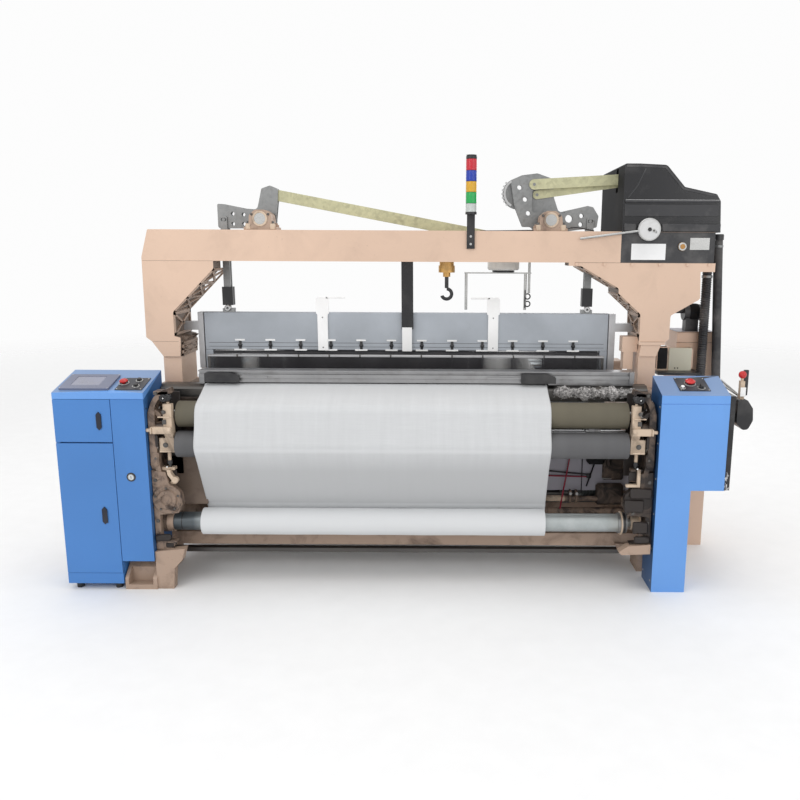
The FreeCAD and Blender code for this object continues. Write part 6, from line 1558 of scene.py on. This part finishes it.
def make_rear_fittings():
    """Black device and cream plate on the rear box's front, its lid's rim, the blower's end and
    the two small spring hooks by the yarn stand."""
    top = 1.242
    drum = lathe([(0, 0), (0.046, 0), (0.048, 0.01), (0.048, 0.04), (0.046, 0.05), (0, 0.05)],
                 (1.56, 0.7, 1.347), RIGHT)
    looks = {"soot": blocks((1.3665, 1.4335, 0.5885, 0.6325, 1.036, 1.166, 0.01)) + [drum],
             "pale_plate": blocks((1.4345, 1.5595, 0.5885, 0.5915, 1.034, 1.159, 0.002)),
             "black": many(screw, [(x, 0.5885, 1.048) for x in (1.47, 1.486)], AHEAD, 0.004),
             "enamel_mid": blocks((1.486, 1.701, 0.6375, 0.6405, top - 0.06, top - 0.056, 0.001),
                                  (1.486, 1.701, 0.637, 0.6405, top - 0.004, top + 0.002, 0.001)),
             "splash": blocks((1.49, 1.697, 0.642, 0.858, top - 0.001, top + 0.0015, 0.0005))}
    for z in (1.435, 1.395):
        hook = np.insert(arc((0.65, z), 0.014, -150, 120, 24), 1, 0.59, axis=1)
        looks["black"].append(tube(hook, 0.0035, 10, (0, 1, 0)))
    looks["black"].append(rod((0.636, 0.59, 1.372), (0.636, 0.59, 1.47), 0.003, 10))
    piece("rear_fittings", looks)


def make_brake_fittings():
    """Brake's pivot bolt, the strips beside its lever, and the teeth on the front right lever's
    disc."""
    piece("brake_strip", {"black": blocks((1.664, 1.69, 0.104, 0.114, 0.985, 1.112, 0.003)),
                          "white": blocks((1.644, 1.67, 0.0765, 0.0785, 0.985, 1.03, 0.001))},
          body="brake_lever")
    front = span("front_right_lever")[0][1]
    teeth = [band([a, b], 0.009, front + 0.0008, front + 0.0085)
             for a, b in zip(arc(LEVER_DISC, 0.076, 140, 224, 7), arc(LEVER_DISC, 0.086, 140, 224, 7))]
    teeth.append(band(arc(LEVER_DISC, 0.07, 120, 240, 30), 0.01, front - 0.003, front + 0.001))
    piece("lever_teeth", {"heald_bright": teeth}, body="front_right_lever")
    piece("brake_fittings", {"steel": [bolt((1.657, 0.0775, 0.936), AHEAD, 0.01, 0.007)]})


# ---- Steps, panel and main ----

class LOOM_OT_camera(bpy.types.Operator):
    """Places the camera at the photograph's viewpoint."""

    bl_idname = "loom.camera"
    bl_label = "View"

    def execute(self, context):
        make_camera()
        return {"FINISHED"}


class LOOM_OT_stage(bpy.types.Operator):
    """Builds the floor, the lights and the surroundings."""

    bl_idname = "loom.stage"
    bl_label = "Floor and lights"

    def execute(self, context):
        make_stage()
        return {"FINISHED"}


class LOOM_OT_finish(bpy.types.Operator):
    """Makes every material and gives the frame's nodes theirs."""

    bl_idname = "loom.finish"
    bl_label = "Frame finish"

    def execute(self, context):
        mix_finishes()
        dress_frame()
        return {"FINISHED"}


class LOOM_OT_hoses(bpy.types.Operator):
    """Builds the two rear hoses with their caps and clamps."""

    bl_idname = "loom.hoses"
    bl_label = "Hoses"

    def execute(self, context):
        make_hoses()
        return {"FINISHED"}


class LOOM_OT_cloth(bpy.types.Operator):
    """Builds the stretched cloth and the wound roll."""

    bl_idname = "loom.cloth"
    bl_label = "Cloth"

    def execute(self, context):
        make_cloth()
        make_roll()
        return {"FINISHED"}


class LOOM_OT_warp(bpy.types.Operator):
    """Builds the warp sheet."""

    bl_idname = "loom.warp"
    bl_label = "Warp"

    def execute(self, context):
        make_warp()
        return {"FINISHED"}


class LOOM_OT_lint(bpy.types.Operator):
    """Builds the heap of lint on the breast beam."""

    bl_idname = "loom.lint"
    bl_label = "Lint"

    def execute(self, context):
        make_lint()
        return {"FINISHED"}


class LOOM_OT_reed(bpy.types.Operator):
    """Builds the reed's wires and baulks."""

    bl_idname = "loom.reed"
    bl_label = "Reed"

    def execute(self, context):
        make_reed()
        return {"FINISHED"}


class LOOM_OT_heald_frames(bpy.types.Operator):
    """Builds the four heald frames."""

    bl_idname = "loom.heald_frames"
    bl_label = "Heald frames"

    def execute(self, context):
        make_heald_frames()
        return {"FINISHED"}


class LOOM_OT_lamp(bpy.types.Operator):
    """Builds the lamp tower's lenses."""

    bl_idname = "loom.lamp"
    bl_label = "Lamp tower"

    def execute(self, context):
        make_lenses()
        return {"FINISHED"}


class LOOM_OT_package(bpy.types.Operator):
    """Builds the yarn package and its tube."""

    bl_idname = "loom.package"
    bl_label = "Yarn package"

    def execute(self, context):
        make_package()
        return {"FINISHED"}


class LOOM_OT_cabinets(bpy.types.Operator):
    """Builds the small fittings of both cabinets."""

    bl_idname = "loom.cabinets"
    bl_label = "Cabinet fittings"

    def execute(self, context):
        make_left_fittings()
        make_right_fittings()
        return {"FINISHED"}


class LOOM_OT_brackets(bpy.types.Operator):
    """Builds the castings, bolts, caps and rings at both ends of the rollers."""

    bl_idname = "loom.brackets"
    bl_label = "Bracket fittings"

    def execute(self, context):
        make_bracket_fittings()
        return {"FINISHED"}


class LOOM_OT_interior(bpy.types.Operator):
    """Builds the splash plate, shaft, pipe and wires behind the cloth."""

    bl_idname = "loom.interior"
    bl_label = "Interior fittings"

    def execute(self, context):
        make_interior()
        return {"FINISHED"}


class LOOM_OT_arch(bpy.types.Operator):
    """Builds the arch's ribs, joint lines and cables."""

    bl_idname = "loom.arch"
    bl_label = "Arch fittings"

    def execute(self, context):
        make_arch_fittings()
        return {"FINISHED"}


class LOOM_OT_rear(bpy.types.Operator):
    """Builds the rear box's fittings and the spring hooks."""

    bl_idname = "loom.rear"
    bl_label = "Rear fittings"

    def execute(self, context):
        make_rear_fittings()
        return {"FINISHED"}


class LOOM_OT_shedding(bpy.types.Operator):
    """Builds the fittings of the shedding case, the lever bearings and the hand disc."""

    bl_idname = "loom.shedding"
    bl_label = "Shedding fittings"

    def execute(self, context):
        make_shedding_fittings()
        return {"FINISHED"}


class LOOM_OT_brake(bpy.types.Operator):
    """Builds the brake's fittings and the teeth on the front right lever."""

    bl_idname = "loom.brake"
    bl_label = "Brake fittings"

    def execute(self, context):
        make_brake_fittings()
        return {"FINISHED"}


STEPS = (LOOM_OT_camera, LOOM_OT_stage, LOOM_OT_finish, LOOM_OT_hoses,
         LOOM_OT_cloth, LOOM_OT_warp, LOOM_OT_lint, LOOM_OT_reed,
         LOOM_OT_heald_frames, LOOM_OT_lamp, LOOM_OT_package, LOOM_OT_cabinets,
         LOOM_OT_brackets, LOOM_OT_interior, LOOM_OT_arch, LOOM_OT_rear,
         LOOM_OT_shedding, LOOM_OT_brake)


class LOOM_PT_panel(bpy.types.Panel):
    """Steps and settings of the loom."""

    bl_label = "Power loom"
    bl_idname = "LOOM_PT_panel"
    bl_space_type = "VIEW_3D"
    bl_region_type = "UI"
    bl_category = "Loom"

    def draw(self, context):
        for group in (context.scene.loom_colours, context.scene.loom_sizes):
            for key in group.bl_rna.properties.keys():
                if key not in ("rna_type", "name"):
                    self.layout.prop(group, key)
        for step in STEPS:
            self.layout.operator(step.bl_idname)


CLASSES = (LoomColours, LoomSizes, *STEPS, LOOM_PT_panel)


def register():
    for kind in CLASSES:
        bpy.utils.register_class(kind)
    bpy.types.Scene.loom_colours = PointerProperty(type=LoomColours)
    bpy.types.Scene.loom_sizes = PointerProperty(type=LoomSizes)


def unregister():
    del bpy.types.Scene.loom_sizes
    del bpy.types.Scene.loom_colours
    for kind in reversed(CLASSES):
        bpy.utils.unregister_class(kind)


def main():
    """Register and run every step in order."""
    register()
    for step in STEPS:
        getattr(bpy.ops.loom, step.bl_idname.split(".")[1])()


if __name__ == "__main__":
    main()
